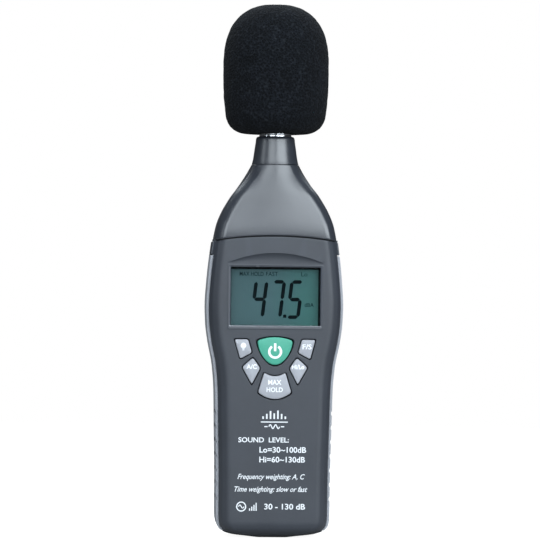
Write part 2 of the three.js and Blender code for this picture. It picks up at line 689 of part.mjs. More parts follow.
add('microphone_barrel', microphoneBarrel(), 'chrome');
add('microphone_grid', microphoneGrid(), 'chrome');
add('microphone_capsule', rodAlongZ(5, [164, 171.2], [0, 0], 24), 'steel');
add('microphone_gasket', turned([
  [6.65, 136.3], [8.2, 136.3], [8.2, 138.6], [6.65, 138.6], [6.65, 136.3],
]), 'rubber');
add('microphone_lead', tube([
  [0, 0, 163.7], [0, 0, 150], [0, 0.6, 136], [0, 0.2, 122], [0, -2.2, 111], [0, -2.4, 103],
], 0.7), 'darkPlastic');
add('windscreen', windscreen(), 'foam');

add('battery', battery(), 'battery');
add('battery_snap', batterySnap(), 'darkPlastic');
add('battery_lead_positive', batteryLead(-1), 'redLead');
add('battery_lead_negative', batteryLead(1), 'darkPlastic');
add('battery_cover', batteryCover(), 'case');
add('battery_pad', box([-10, 10], [BATTERY.yBack + GAP, COVER.ledgeY], [22, 58]), 'foam');
add('battery_cover_screw', screw([0, COVER_SCREW_Z], {
  shank: 1, head: 2, tip: 12, underHead: BACK_Y + GAP, headTop: BACK_Y + 1.3,
}), 'steel');

CASE_SCREWS.forEach((at, i) => {
  add(`case_screw_${i + 1}`, screw(at, {
    shank: 1.3, head: 2.4, tip: -6, underHead: 13.6, headTop: 15.6,
  }), 'steel');
});
BOARD_SCREWS.forEach((at, i) => {
  add(`board_screw_${i + 1}`, screw(at, {
    shank: 0.8, head: 1.5, tip: -8, underHead: BOARD_REAR, headTop: BOARD_REAR + 1.2,
  }), 'steel');
});

add('tripod_insert', tripodInsert(), 'brass');
add('trimmer_body', trimmerBody(), 'whitePlastic');
add('trimmer_rotor', trimmerRotor(), 'whitePlastic');
add('processor_chip', box([-14, -3], [BOARD_REAR, BOARD_REAR + 1.6], [88, 99]), 'darkPlastic');
add('amplifier_chip', box([4, 9], [BOARD_REAR, BOARD_REAR + 1.4], [91, 95]), 'darkPlastic');
add('filter_capacitor', rodAlongZ(2.3, [73, 81], [-9, BOARD_REAR + 2.3], 16), 'darkPlastic');

export default meter;
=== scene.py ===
import json
from math import asin, atan2, copysign, cos, degrees, dist, hypot, pi, radians, sin, sqrt, tan

import bmesh
import bpy
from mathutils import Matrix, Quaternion, Vector, noise
from mathutils.bvhtree import BVHTree
from mathutils.geometry import delaunay_2d_cdt


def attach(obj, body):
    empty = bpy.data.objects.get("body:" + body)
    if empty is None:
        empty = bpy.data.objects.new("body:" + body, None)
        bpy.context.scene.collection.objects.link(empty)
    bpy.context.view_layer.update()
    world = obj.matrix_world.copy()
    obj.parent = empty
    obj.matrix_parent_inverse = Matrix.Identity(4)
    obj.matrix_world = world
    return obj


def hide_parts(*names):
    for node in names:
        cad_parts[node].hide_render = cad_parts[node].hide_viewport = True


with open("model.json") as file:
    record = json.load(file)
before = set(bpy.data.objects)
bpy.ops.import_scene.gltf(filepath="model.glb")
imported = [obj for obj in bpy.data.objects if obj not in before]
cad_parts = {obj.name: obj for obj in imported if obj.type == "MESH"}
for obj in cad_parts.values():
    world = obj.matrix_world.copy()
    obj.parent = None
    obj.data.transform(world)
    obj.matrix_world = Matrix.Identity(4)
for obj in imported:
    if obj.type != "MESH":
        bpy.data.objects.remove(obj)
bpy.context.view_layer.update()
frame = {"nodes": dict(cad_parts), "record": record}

# ------------ driving dimensions, in millimetres

MM = 0.001
MERGE_DISTANCE = 0.0015 * MM
SHORT_EDGE = 0.0005 * MM
BEHIND = 1.0
GAP = 0.3
FRONT_Y = -13.0
FOOT_TURN = 5.0
FOOT_WALL = 0.12
BACK_Y = 19.0
PARTING_Y = 2.0

CASE_WIDTHS = [
    (0, 7), (0.5, 10.3), (1.2, 15.8), (2.4, 19.4), (3.6, 20.9), (5.2, 21.9), (8, 22.3), (24, 22.4),
    (44, 22.8), (58, 23.1), (67.5, 23.9), (77, 25.75), (84, 26.65), (91, 26.9), (101, 26.3), (112, 25.15),
    (121, 23.85),
]
HEAD_WIDTHS = [
    (113, 24.6), (119, 23.6), (123, 22.7), (127.5, 20.95), (132.2, 18.35), (139.3, 13.6), (144.1, 10.65),
    (147.6, 9), (153.6, 8.05), (155.9, 7.7),
]
FRONT_LINE = [
    (0, -5), (0.9, -8.4), (2.2, -10.9), (4, -12.5), (6.5, FRONT_Y), (119, FRONT_Y), (131, -11.7),
    (147.6, -9), (153.6, -8.05), (155.9, -7.7),
]
BACK_LINE = [
    (0, 14), (0.9, 15), (2.2, 16.2), (4.5, 17.6), (8, 18.7), (12, BACK_Y), (104, BACK_Y), (118, 17.4),
    (132, 13.2), (142, 10.2), (147.6, 9), (153.6, 8.05), (155.9, 7.7),
]
BEVEL_WIDTH = 4.1
BEVEL_DEPTH = 4.4
BEVEL_BULGE = 0.3
BEVEL_ROUND = 3.4
BEVEL_START = 1.6
HEAD_BEVEL = 2.8
HEAD_CROWN = 0.6
HEAD_CROWN_Z = 128
HEAD_ROUND_Z = 134
HEAD_ROUNDNESS = 0.85
FULL_WIDTH = 18
LEDGE = 0.5
BACK_CORNER = 8.0
SIDE_SHARE = 23 / 32

SEAM_Z = 118.4
SEAM_RADIUS = 145.0
SEAM_WIDTH = 0.48
CHANNEL = {"z_low": 2.7, "z_high": 111.1, "y_front": -8.9, "y_back": 9.3, "inset": 2.2}
GRIP = {"z_low": 3.0, "z_high": 110.8, "y_front": -8.6, "y_back": 9.0, "thickness": 1.9}
SCALLOP = {"count": 7, "z_first": 15.4, "pitch": 5.6, "radius": 1.6, "depth": 0.35}
WINDOW = {"half_width": 17.6, "z_low": 83.3, "z_high": 106.3, "chamfer": 0.45}
FRAME = {"half_width": 18.6, "z_low": 82.0, "z_high": 107.0, "rise": 0.12, "soft": 0.3}
ARCH = {"z_apex": 111.8, "half_width": 18.6, "z_end": 108.0, "depth": 1.1, "z_flush": 107.4}
PANE = {"half_width": 18.4, "z_low": 81.9, "z_high": 107.7, "y_front": -10.9, "y_back": -10.2}
PANE_FACE = {"half_width": 17.3, "z_low": 83.6, "z_high": 106.0, "y_front": -11.8, "y_back": -10.9}
KEY_TOP_Y = -13.7
NECK_SEAM_Z = 146.5
COLLAR_Z = 146.68
NECK_TOP_Z = 157.7
MIC_RADIUS = 6.35
FOAM = {"radius": 20.95, "z_bottom": 158.8, "z_wide": 185.0, "corner": 8.0, "power": 2.5, "top": 210.0,
        "bore_top": 176.3}
TRAY = {"half_width": 13.6, "z_low": 15.2, "z_high": 70.0, "y_front": -1.7}
COVER = {"half_width": 14.3, "z_low": 13.0, "z_high": 74.3, "ledge_y": 17.6}
COVER_SCREW = (0.0, 71.5)
TRIPOD = {"z": 84.0, "bore": 3.175, "radius": 5.0, "depth": 9.5}
TRIMMER = (9.0, 101.0)
CASE_SCREWS = [(-10.5, 8.5), (10.5, 8.5), (-15.5, 111.2), (15.5, 111.2)]
BATTERY_PRINT = (45.5, 46.7)
LCD = {"half_width": 18.0, "z_low": 82.8, "z_high": 106.8, "y_front": -9.6, "thickness": 2.2}

KEYS = {
    "power": {"corners": [(-7.15, 77.6), (0, 67), (7.15, 77.6)], "bows": [1.75, 1.75, 1.4],
              "rounds": [0.9, 2.6, 0.9], "centre": (0, 73.4)},
    "backlight": {"corners": [(-16, 78), (-13.7, 70.1), (-8.9, 72.7), (-10.5, 78.1)],
                  "centre": (-12.3, 74.9)},
    "response": {"corners": [(15.95, 78), (10.45, 78.1), (8.95, 72.7), (13.85, 70.1)],
                 "centre": (12.3, 74.9)},
    "weighting": {"corners": [(-8.6, 70.9), (-12.9, 67), (-9, 60.1), (-5.6, 66.6)], "bows": [0.1, 0, 0, 0.1],
                  "centre": (-9, 66.3)},
    "range": {"corners": [(8.6, 70.9), (5.6, 66.6), (9, 60.1), (12.9, 67)], "bows": [0.1, 0, 0, 0.1],
              "centre": (9, 66.3)},
    "max_hold": {"corners": [(-4.25, 65.15), (-6.7, 57.1), (6.7, 57.1), (4.25, 65.15)],
                 "bows": [0, 2.6, 0, -1.4], "centre": (0, 59.6)},
}
KEY_CORNER = 0.8
KEY_OPENING = 0.25
KEY_GAP = 0.4

# ------------ curves and sections


def smooth_through(stations):
    """Smooth function through (at, value) stations that never overshoots between them."""
    slopes = [(v1 - v0) / (a1 - a0) for (a0, v0), (a1, v1) in zip(stations, stations[1:])]
    tangents = [slopes[0]]
    for before, after in zip(slopes, slopes[1:]):
        tangents.append(0 if before * after <= 0 else 2 * before * after / (before + after))
    tangents.append(slopes[-1])

    def value(at):
        i = 0
        while i < len(stations) - 2 and at > stations[i + 1][0]:
            i += 1
        (a0, v0), (a1, v1) = stations[i], stations[i + 1]
        t = min(1.0, max(0.0, (at - a0) / (a1 - a0)))
        rise = t * t * (3 - 2 * t)
        leave = t * (1 - t) * (1 - t) * (a1 - a0) * tangents[i]
        arrive = t * t * (t - 1) * (a1 - a0) * tangents[i + 1]
        return v0 + (v1 - v0) * rise + leave + arrive

    return value


case_width = smooth_through(CASE_WIDTHS)
head_width = smooth_through(HEAD_WIDTHS)
front_line = smooth_through(FRONT_LINE)
back_line = smooth_through(BACK_LINE)


def smoothstep(at, low, high):
    t = min(1.0, max(0.0, (at - low) / (high - low)))
    return t * t * (3 - 2 * t)


def lerp(a, b, t):
    return a + (b - a) * t


def spread(low, high, count):
    """count + 1 even steps from low to high."""
    return [lerp(low, high, i / count) for i in range(count + 1)]


def quarter(steps):
    """(sine, 1 - cosine) at even steps of a quarter turn."""
    turns = [pi / 2 * k / steps for k in range(steps + 1)]
    return [(sin(turn), 1 - cos(turn)) for turn in turns]


SHARPEST, STRAIGHT = 0.05, 1.55
LEAST_REACH = 0.03
END_SHARE, SIDE_LIMIT = 0.95, 0.48


def fillet(corners, radii, steps=4):
    """Open line through corners with its inner corners rounded, always with the same number of points."""
    points = [corners[0]]
    for i in range(1, len(corners) - 1):
        here = Vector(corners[i])
        back = Vector(corners[i - 1]) - here
        ahead = Vector(corners[i + 1]) - here
        half = max(SHARPEST, back.angle(ahead, pi) / 2)
        reach = radii[i - 1] / tan(half) if half < STRAIGHT else LEAST_REACH
        first = back.length * (END_SHARE if i == 1 else SIDE_LIMIT)
        last = ahead.length * (END_SHARE if i == len(corners) - 2 else SIDE_LIMIT)
        reach = max(LEAST_REACH, min(reach, first, last))
        start = here + back.normalized() * reach
        end = here + ahead.normalized() * reach
        for k in range(steps + 1):
            t = k / steps
            point = start.lerp(here, t).lerp(here.lerp(end, t), t)
            points.append((point.x, point.y))
    points.append(corners[-1])
    return points


def offset_line(points, distance):
    """An open line moved to its left by distance."""
    moved = []
    for i, point in enumerate(points):
        ahead = Vector(points[min(i + 1, len(points) - 1)]) - Vector(point)
        back = Vector(point) - Vector(points[max(i - 1, 0)])
        way = ahead.normalized() + back.normalized()
        way.normalize()
        moved.append((point[0] - way.y * distance, point[1] + way.x * distance))
    return moved


def profile_at(z, width):
    """Half width, scale of the section's details, and y of the front and the back at z."""
    w = width(z)
    scale = min(1.0, w / FULL_WIDTH)
    return w, scale, front_line(z), back_line(z)


def bevel(flat, edge, y_front, scale):
    """Corners of the bevel from the flat front to x edge, bulging outwards, and the y where it ends."""
    y_end = y_front + BEVEL_DEPTH * scale
    bulge = ((flat + edge) / 2 + BEVEL_BULGE * scale, (y_front + y_end) / 2 - BEVEL_BULGE * scale)
    return [(flat - BEVEL_START * scale, y_front), (flat, y_front), bulge], y_end


def front_half(z, channel, tuck=0.0):
    """Right half of the front case's section, from the flat front round the bevel to the parting line."""
    w, scale, y_front, _ = profile_at(z, case_width)
    edge = w - LEDGE * scale
    corners, y_bevel = bevel(edge - BEVEL_WIDTH * scale, edge, y_front, scale)
    end_y = PARTING_Y - GAP / 2
    if channel:
        wall = w - CHANNEL["inset"]
        corners += [(edge - 0.26, CHANNEL["y_front"]), (wall, CHANNEL["y_front"]), (wall, end_y)]
        corners.append((wall - 1, end_y))
    else:
        corners += [(edge, y_bevel), (w - tuck, y_bevel), (w - tuck, end_y), (w - 1 - tuck, end_y)]
    return fillet(corners, [BEVEL_ROUND * scale, 4, 0.35, 0.2 if channel else 1.35 * scale, 0.25])


def rear_y(x, z):
    """The case's back surface: flat in the middle and rounded towards the sides."""
    w, scale, _, y_back = profile_at(z, case_width)
    flat = w - BACK_CORNER * scale
    if abs(x) <= flat:
        return y_back
    y_side = rear_side_y(z)
    across = min(1.0, (abs(x) - flat) / (w - flat))
    return y_side + (y_back - y_side) * sqrt(1 - across * across)


def rear_side_y(z):
    _, scale, y_front, y_back = profile_at(z, case_width)
    return lerp(y_front + BEVEL_DEPTH * scale, y_back, SIDE_SHARE)


def rear_half(z, channel, tuck=0.0):
    """Right half of the rear case's section, from the flat back round the corner to the parting line."""
    w, scale, _, _ = profile_at(z, case_width)
    flat = w - BACK_CORNER * scale
    y_side = rear_side_y(z)
    start = 1.8 * scale / (w - flat)
    round_back = []
    for turn in spread(asin(start), pi / 2, 10):
        x = flat + (w - flat) * sin(turn)
        y = y_side + (rear_y(0, z) - y_side) * cos(turn)
        round_back.append((x, y))
    begin_y = PARTING_Y + GAP / 2
    if channel:
        wall = w - CHANNEL["inset"]
        corners = [(w, CHANNEL["y_back"] + 0.9), (w, CHANNEL["y_back"]), (wall, CHANNEL["y_back"])]
        corners += [(wall, begin_y), (wall - 1, begin_y)]
    else:
        side = w - tuck
        corners = [(side, CHANNEL["y_back"] + 0.9), (side, CHANNEL["y_back"]), (side, 6.0)]
        corners += [(side, begin_y), (side - 1, begin_y)]
    side = fillet(corners, [0.35, 0.2, 0.25])
    if not channel and tuck:
        round_back = [(x - tuck * smoothstep(i, 2, 10), y) for i, (x, y) in enumerate(round_back)]
    return round_back + side


def head_half(z):
    """Right half of the head's section, from the middle of the front round to the middle of the back."""
    w, scale, y_front, y_back = profile_at(z, head_width)
    taper = (head_width(z - 0.5) - head_width(z + 0.5))
    flat = w - HEAD_BEVEL * sqrt(1 + taper * taper)
    corners, y_bevel = bevel(flat, w, y_front, scale)
    y_side = lerp(y_bevel, y_back, SIDE_SHARE)
    back_flat = w - BACK_CORNER * scale
    crown = HEAD_CROWN * smoothstep(z, SEAM_Z, HEAD_CROWN_Z) * scale
    line = [(x, y_front) for x in spread(0, corners[0][0], 8)[:-1]]
    line += fillet(corners + [(w, y_bevel), (w, y_side)], [BEVEL_ROUND * scale, 4, 1.2])[:-1]
    line = [(x, y + crown * min(1.0, x / flat) ** 2) for x, y in line]
    line += [(w, y) for y in spread(line[-1][1], y_side, 8)[1:]]
    for turn in spread(0, pi / 2, 10)[1:]:
        line.append((back_flat + (w - back_flat) * cos(turn), y_side + (y_back - y_side) * sin(turn)))
    line += [(x, y_back) for x in spread(back_flat, 0, 6)[1:]]
    roundness = HEAD_ROUNDNESS * smoothstep(z, HEAD_ROUND_Z, NECK_SEAM_Z)
    blended = []
    for x, y in line:
        depth = -y_front if y < 0 else y_back
        stretch = lerp(1.0, 1 / hypot(x / w, y / depth), roundness)
        blended.append((x * stretch, y * stretch))
    return blended


def seam_drop(x):
    return x * x / (2 * SEAM_RADIUS)


# ------------ outlines in X and Z


def arc(centre, radius, start, end, steps=24):
    turns = [radians(t) for t in spread(start, end, steps)]
    return [(centre[0] + radius * cos(t), centre[1] + radius * sin(t)) for t in turns]


def circle(centre, radius, sides=32):
    return arc(centre, radius, 0, 360, sides)[:-1]


def capsule(a, b, radius, steps=5):
    """A slot with round ends from a to b."""
    left = degrees(atan2(b.y - a.y, b.x - a.x)) + 90
    return arc(a, radius, left, left + 180, steps) + arc(b, radius, left - 180, left, steps)


def rounded_box(x0, x1, z0, z1, radius, steps=5):
    left, right, low, high = x0 + radius, x1 - radius, z0 + radius, z1 - radius
    loop = []
    for quadrant, corner in enumerate([(right, high), (left, high), (left, low), (right, low)]):
        loop += arc(corner, radius, 90 * quadrant, 90 * quadrant + 90, steps)
    return loop


def box_outline(box, radius, steps):
    """Function giving a rounded box's outline grown outwards, from its half_width, z_low and z_high."""
    def loop(growth):
        half = box["half_width"] + growth
        return rounded_box(-half, half, box["z_low"] - growth, box["z_high"] + growth, radius + growth, steps)

    return loop


window_loop = box_outline(WINDOW, 0.25, 3)
frame_loop = box_outline(FRAME, 0.6, 3)
cover_loop = box_outline(COVER, 1.2, 5)
tray_loop = box_outline(TRAY, 0.8, 5)


def area_of(loop):
    return sum(x0 * z1 - x1 * z0 for (x0, z0), (x1, z1) in zip(loop, loop[1:] + loop[:1])) / 2


def inside(point, loop):
    hit = False
    x, z = point[0], point[1]
    for (x0, z0), (x1, z1) in zip(loop, loop[1:] + loop[:1]):
        if (z0 > z) != (z1 > z) and x < (x1 - x0) * (z - z0) / (z1 - z0) + x0:
            hit = not hit
    return hit


def clear_of(point, loops, distance):
    """Whether a point lies outside every loop and distance away from its corners."""
    return not any(inside(point, loop) or min(dist(point, p) for p in loop) < distance for loop in loops)


def key_outline(key, growth):
    """Outline of a key or its opening, grown outwards, with a fixed number of points."""
    corners = [Vector(c) for c in key["corners"]]
    count = len(corners)
    turning = copysign(1, area_of([tuple(c) for c in corners]))
    grown = []
    for i, here in enumerate(corners):
        before = (corners[i - 1] - here).normalized()
        after = (corners[(i + 1) % count] - here).normalized()
        half = before.angle(after) / 2
        grown.append(here - (before + after).normalized() * (growth / sin(half)))
    rounds = [r + max(0.0, growth) for r in key.get("rounds", [KEY_CORNER] * count)]
    bows = key.get("bows", [0] * count)
    sides = []
    for i, start in enumerate(grown):
        end = grown[(i + 1) % count]
        along = end - start
        outward = Vector((along.y, -along.x)).normalized() * turning
        middle = (start + end) / 2 + outward * (2 * bows[i])
        arrive = 1 - rounds[(i + 1) % count] / along.length
        sides.append((start, middle, end, rounds[i] / along.length, arrive))

    def bend(a, b, c, t):
        return a.lerp(b, t).lerp(b.lerp(c, t), t)

    loop = []
    for i, (start, middle, end, leave, arrive) in enumerate(sides):
        loop += [tuple(bend(start, middle, end, t)) for t in spread(leave, arrive, 8)]
        ahead = sides[(i + 1) % count]
        first, last = bend(start, middle, end, arrive), bend(*ahead[:3], ahead[3])
        loop += [tuple(bend(first, end, last, t)) for t in spread(0, 1, 5)[1:-1]]
    return loop


def lift(loop, y):
    return [(x, y, z) for x, z in loop]


def mirrored(row):
    return [(-x, y, z) for x, y, z in row]


# ------------ surfaces


class Surface:
    """Collects points and faces of one piece; equal points are merged when it is made."""

    def __init__(self):
        self.points = []
        self.faces = []
        self.marks = []

    def face(self, indices, mark=0):
        self.faces.append(tuple(indices))
        self.marks.append(mark)

    def grid(self, rows, closed=False, mark=0):
        first = len(self.points)
        count = len(rows[0])
        for row in rows:
            self.points.extend(row)
        for r in range(len(rows) - 1):
            for c in range(count if closed else count - 1):
                a = first + r * count + c
                b = first + r * count + (c + 1) % count
                self.face((a, b, b + count, a + count), mark)

    def cap(self, ring, mark=0):
        first = len(self.points)
        self.points.extend(ring)
        self.face(range(first, first + len(ring)), mark)

    def fill(self, outline, holes, place, extra=()):
        """Fills a flat outline around its holes; place(x, z) puts each point on the surface."""
        flat = []
        edges = []
        for loop in [outline, *holes]:
            start = len(flat)
            flat.extend(Vector(point) for point in loop)
            edges.extend((start + i, start + (i + 1) % len(loop)) for i in range(len(loop)))
        flat.extend(Vector(point) for point in extra)
        made = delaunay_2d_cdt(flat, edges, [], 0, 1e-7)
        first = len(self.points)
        self.points.extend(place(point.x, point.y) for point in made[0])
        for triangle in made[2]:
            centre = sum((made[0][i] for i in triangle), Vector((0, 0))) / 3
            if inside(centre, outline) and not any(inside(centre, hole) for hole in holes):
                self.face([first + i for i in triangle])

    def stack(self, rings, mark=0):
        """Walls from one (outline, y) to the next."""
        self.grid([lift(loop, y) for loop, y in rings], closed=True, mark=mark)

    def turned(self, profile, sides):
        """A profile of (radius, z) turned about the Z axis."""
        rings = [(circle((0, 0), radius, sides), z) for radius, z in profile]
        self.grid([[(x, y, z) for x, y in ring] for ring, z in rings], closed=True)

    def turned_y(self, profile, sides, centre, mark=0):
        """A profile of (radius, y) turned about an axis along Y through centre (x, z)."""
        self.stack([(circle(centre, radius, sides), y) for radius, y in profile], mark)

    def opening(self, outline_at, depth_to, lip, face_y, steps=3):
        """A hole with a rounded lip, through a face at face_y, a number or a function of (x, z);
        outline_at(growth) gives its outline. Returns the loop on the face."""
        place = face_y if callable(face_y) else lambda x, z: face_y
        rows = []
        for sine, sink in quarter(steps):
            loop = outline_at(lip * (1 - sine))
            way = 1 if depth_to > place(*loop[0]) else -1
            rows.append([(x, place(x, z) + way * lip * sink, z) for x, z in loop])
        rows.append(lift(outline_at(0), depth_to))
        self.grid(rows, closed=True)
        return outline_at(lip)


def put(name, data):
    """A new object with that data, in the scene."""
    made = bpy.data.objects.new(name, data)
    bpy.context.scene.collection.objects.link(made)
    return made


def thicken(piece, wall):
    """Gives an open shell its wall, thin around the foot, and keeps it above the ground."""
    thick = piece.modifiers.new("wall", "SOLIDIFY")
    thick.thickness = wall * MM
    thick.offset = -1
    thick.use_even_offset = False
    full = piece.vertex_groups.new(name="full_wall")
    for vertex in piece.data.vertices:
        full.add([vertex.index], smoothstep(vertex.co.z / MM, FOOT_TURN, 2 * FOOT_TURN), "REPLACE")
    thick.vertex_group = full.name
    thick.thickness_vertex_group = FOOT_WALL
    graph = bpy.context.evaluated_depsgraph_get()
    done = bpy.data.meshes.new_from_object(piece.evaluated_get(graph))
    old = piece.data
    piece.modifiers.clear()
    piece.data = done
    bpy.data.meshes.remove(old)
    for vertex in piece.data.vertices:
        vertex.co.z = max(vertex.co.z, 0.0)


def make(name, surface, slot, stands_for=(), body="housing", looks=None, wall=0.0, sharp=38, weighted=True,
         sheet=False):
    """Turns a surface into a piece. looks names its materials, or else the slot's own is used. The piece's
    faces look away from its middle, and a flat sheet's look to the front."""
    mesh = bpy.data.meshes.new(name)
    bm = bmesh.new()
    points = [bm.verts.new((x * MM, y * MM, z * MM)) for x, y, z in surface.points]
    for indices, mark in zip(surface.faces, surface.marks):
        face = bm.faces.new([points[i] for i in indices])
        face.material_index = mark
    bmesh.ops.remove_doubles(bm, verts=bm.verts, dist=MERGE_DISTANCE)
    bmesh.ops.dissolve_degenerate(bm, dist=SHORT_EDGE, edges=bm.edges)
    bmesh.ops.recalc_face_normals(bm, faces=bm.faces)
    middle = sum((v.co for v in bm.verts), Vector()) / len(bm.verts)
    if sheet:
        middle.y += BEHIND
    if sum(f.calc_area() * f.normal.dot(f.calc_center_median() - middle) for f in bm.faces) < 0:
        bmesh.ops.reverse_faces(bm, faces=bm.faces)
    bm.to_mesh(mesh)
    bm.free()
    for finish in looks or [slot]:
        mesh.materials.append(FINISH[finish])
    piece = put(name, mesh)
    if wall:
        thicken(piece, wall)
    piece.data.shade_smooth()
    piece.data.set_sharp_from_angle(angle=radians(sharp))
    if weighted:
        even = piece.modifiers.new("shading", "WEIGHTED_NORMAL")
        even.keep_sharp = True
    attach(piece, body)
    if stands_for:
        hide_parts(*stands_for)
    return piece


# ------------ materials

FINISH = {}


def srgb(red, green, blue):
    parts = [value / 255 for value in (red, green, blue)]
    return (*(part / 12.92 if part <= 0.04045 else ((part + 0.055) / 1.055) ** 2.4 for part in parts), 1.0)


def shade(colour, factor):
    return (*(min(1.0, channel * factor) for channel in colour[:3]), 1.0)


def feed(tree, node, inputs):
    """Gives each of a node's inputs its value, or a link where the value is another node's output."""
    for key, value in inputs.items():
        if isinstance(value, bpy.types.NodeSocket):
            tree.links.new(value, node.inputs[key])
        else:
            node.inputs[key].default_value = value


def add_node(tree, kind, inputs, output=0, **settings):
    """A new shader node with its inputs and settings; returns one of its outputs."""
    node = tree.nodes.new("ShaderNode" + kind)
    for key, value in settings.items():
        setattr(node, key, value)
    feed(tree, node, inputs)
    return node.outputs[output]


class Look:
    """A material in FINISH around one Principled shader; its helpers return nodes' outputs."""

    def __init__(self, name):
        self.material = FINISH[name] = bpy.data.materials.new(name)
        self.material.use_nodes = True
        self.tree = self.material.node_tree
        self.shader = self.tree.nodes["Principled BSDF"]
        self.place = self.node("TexCoord", {}, "Object")

    def node(self, kind, inputs, output=0, **settings):
        return add_node(self.tree, kind, inputs, output, **settings)

    def axis(self, letter):
        return self.node("SeparateXYZ", {"Vector": self.place}, letter)

    def set(self, **values):
        """Values or outputs for the shader's inputs, named like specular_ior_level."""
        named = {key.replace("_", " ").title().replace("Ior", "IOR"): value for key, value in values.items()}
        feed(self.tree, self.shader, named)

    def surface(self, output):
        """Uses that output in place of the Principled shader alone."""
        self.tree.links.new(output, self.tree.nodes["Material Output"].inputs["Surface"])

    def noise(self, scale, detail=4.0, roughness=0.55, stretch=None):
        place = self.place
        if stretch is not None:
            place = self.node("Mapping", {"Vector": place, "Scale": stretch})
        inputs = {"Vector": place, "Scale": scale, "Detail": detail, "Roughness": roughness}
        return self.node("TexNoise", inputs, "Fac")

    def ramp(self, source, stops):
        colour = self.node("ValToRGB", {"Fac": source}, "Color")
        elements = colour.node.color_ramp.elements
        while len(elements) < len(stops):
            elements.new(0.5)
        for element, (at, value) in zip(elements, stops):
            element.position = at
            element.color = value
        return colour

    def span(self, source, low, high, from_low=0.0, from_high=1.0):
        """A source from from_low to from_high spread over low to high."""
        limits = {"From Min": from_low, "From Max": from_high, "To Min": low, "To Max": high}
        return self.node("MapRange", {"Value": source, **limits}, "Result")

    def mix(self, factor, first, second):
        return self.node("Mix", {0: factor, 6: first, 7: second}, 2, data_type="RGBA")

    def bump(self, *layers):
        """layers are (height source, strength, distance in millimetres)."""
        below = {}
        for height, strength, distance in layers:
            inputs = {"Height": height, "Strength": strength, "Distance": distance * MM, **below}
            below = {"Normal": self.node("Bump", inputs, "Normal")}
        feed(self.tree, self.shader, below)


def moulded(name, colour, rough, grain=2600, grain_depth=0.02, variation=0.1, wear=0.25, specular=0.5,
            coat=0.0):
    """Moulded plastic or rubber: faint blotches, a fine spark-eroded grain and paler worn edges."""
    look = Look(name)
    tones = [(0.3, shade(colour, 1 - variation)), (0.7, shade(colour, 1 + variation))]
    tone = look.ramp(look.noise(55, 5), tones)
    tone = look.mix(look.span(look.noise(grain * 0.55, 2), 0.0, 0.16, 0.35, 0.75), tone, shade(colour, 1.35))
    edges = look.node("NewGeometry", {}, "Pointiness")
    tone = look.mix(look.span(edges, 0.0, wear, 0.52, 0.6), tone, shade(colour, 1.7))
    look.set(base_color=tone, roughness=look.span(look.noise(130, 3), *rough, 0.3, 0.7))
    look.set(specular_ior_level=specular, coat_weight=coat, coat_roughness=rough[0])
    look.bump((look.noise(grain, 2, 0.6), 0.5, grain_depth), (look.noise(70, 2), 0.12, 0.08))


def metal(name, colour, rough, scratches=(1, 1, 1)):
    look = Look(name)
    streak = look.noise(420, 5, 0.6, scratches)
    tone = look.ramp(streak, [(0.25, shade(colour, 0.82)), (0.75, shade(colour, 1.08))])
    scuffs = look.span(look.noise(900, 3, 0.6, scratches), *rough, 0.3, 0.7)
    look.set(base_color=tone, roughness=scuffs, metallic=1.0)
    look.bump((streak, 0.15, 0.01))


def foam_material():
    look = Look("foam")
    pores = look.node("TexVoronoi", {"Vector": look.place, "Scale": 1150}, "Distance")
    small = look.noise(2300, 3, 0.6)
    dark = srgb(7, 8, 9)
    tone = look.ramp(pores, [(0.12, dark), (0.62, srgb(20, 23, 28)), (0.95, srgb(33, 36, 40))])
    tone = look.mix(look.span(look.noise(160, 4), 0.0, 0.45, 0.35, 0.7), tone, dark)
    tone = look.mix(look.span(small, 0.0, 0.4, 0.55, 0.8), tone, srgb(51, 54, 58))
    look.set(base_color=tone, roughness=0.95, specular_ior_level=0.06, sheen_weight=0.02, sheen_roughness=0.6)
    look.bump((pores, 0.9, 0.35), (small, 0.6, 0.12))


def jacket_material():
    """Printed steel can of the battery: blue-grey below, a pale line and a copper-coloured shoulder."""
    look = Look("battery_jacket")
    up = look.axis("Z")
    worn = look.noise(700, 4)
    body = look.ramp(worn, [(0.3, srgb(70, 82, 104)), (0.7, srgb(84, 97, 120))])
    shoulder = look.ramp(worn, [(0.3, srgb(176, 128, 74)), (0.7, srgb(196, 146, 90))])
    line, copper = (look.span(up, 0.0, 1.0, z * MM, (z + 0.2) * MM) for z in BATTERY_PRINT)
    tone = look.mix(line, body, srgb(206, 208, 206))
    tone = look.mix(copper, tone, shoulder)
    look.set(base_color=tone, roughness=look.span(look.noise(400, 3), 0.24, 0.36))
    look.set(metallic=0.35, specular_ior_level=0.6)
    look.bump((worn, 0.1, 0.01))


def lcd_material():
    look = Look("lcd_glass")
    across = look.span(look.axis("X"), 0.0, 1.0, -LCD["half_width"] * MM, LCD["half_width"] * MM)
    greens = [(0.0, (108, 123, 127)), (0.45, (106, 126, 130)), (0.8, (95, 134, 130)), (1.0, (92, 130, 125))]
    tone = look.ramp(across, [(at, srgb(*colour)) for at, colour in greens])
    # Darker towards the top of the display: painted shade for the shadow that the window's upper wall casts
    # on it.
    tone = look.mix(look.span(look.axis("Z"), 0.0, 0.35, 0.092, 0.107), tone, srgb(89, 106, 110))
    tone = look.mix(look.span(look.noise(900, 2), 0.0, 0.1), tone, srgb(71, 88, 94))
    look.set(base_color=tone, roughness=look.span(look.noise(300, 3), 0.3, 0.42), specular_ior_level=0.2)
    look.bump((look.noise(1800, 2), 0.1, 0.01))


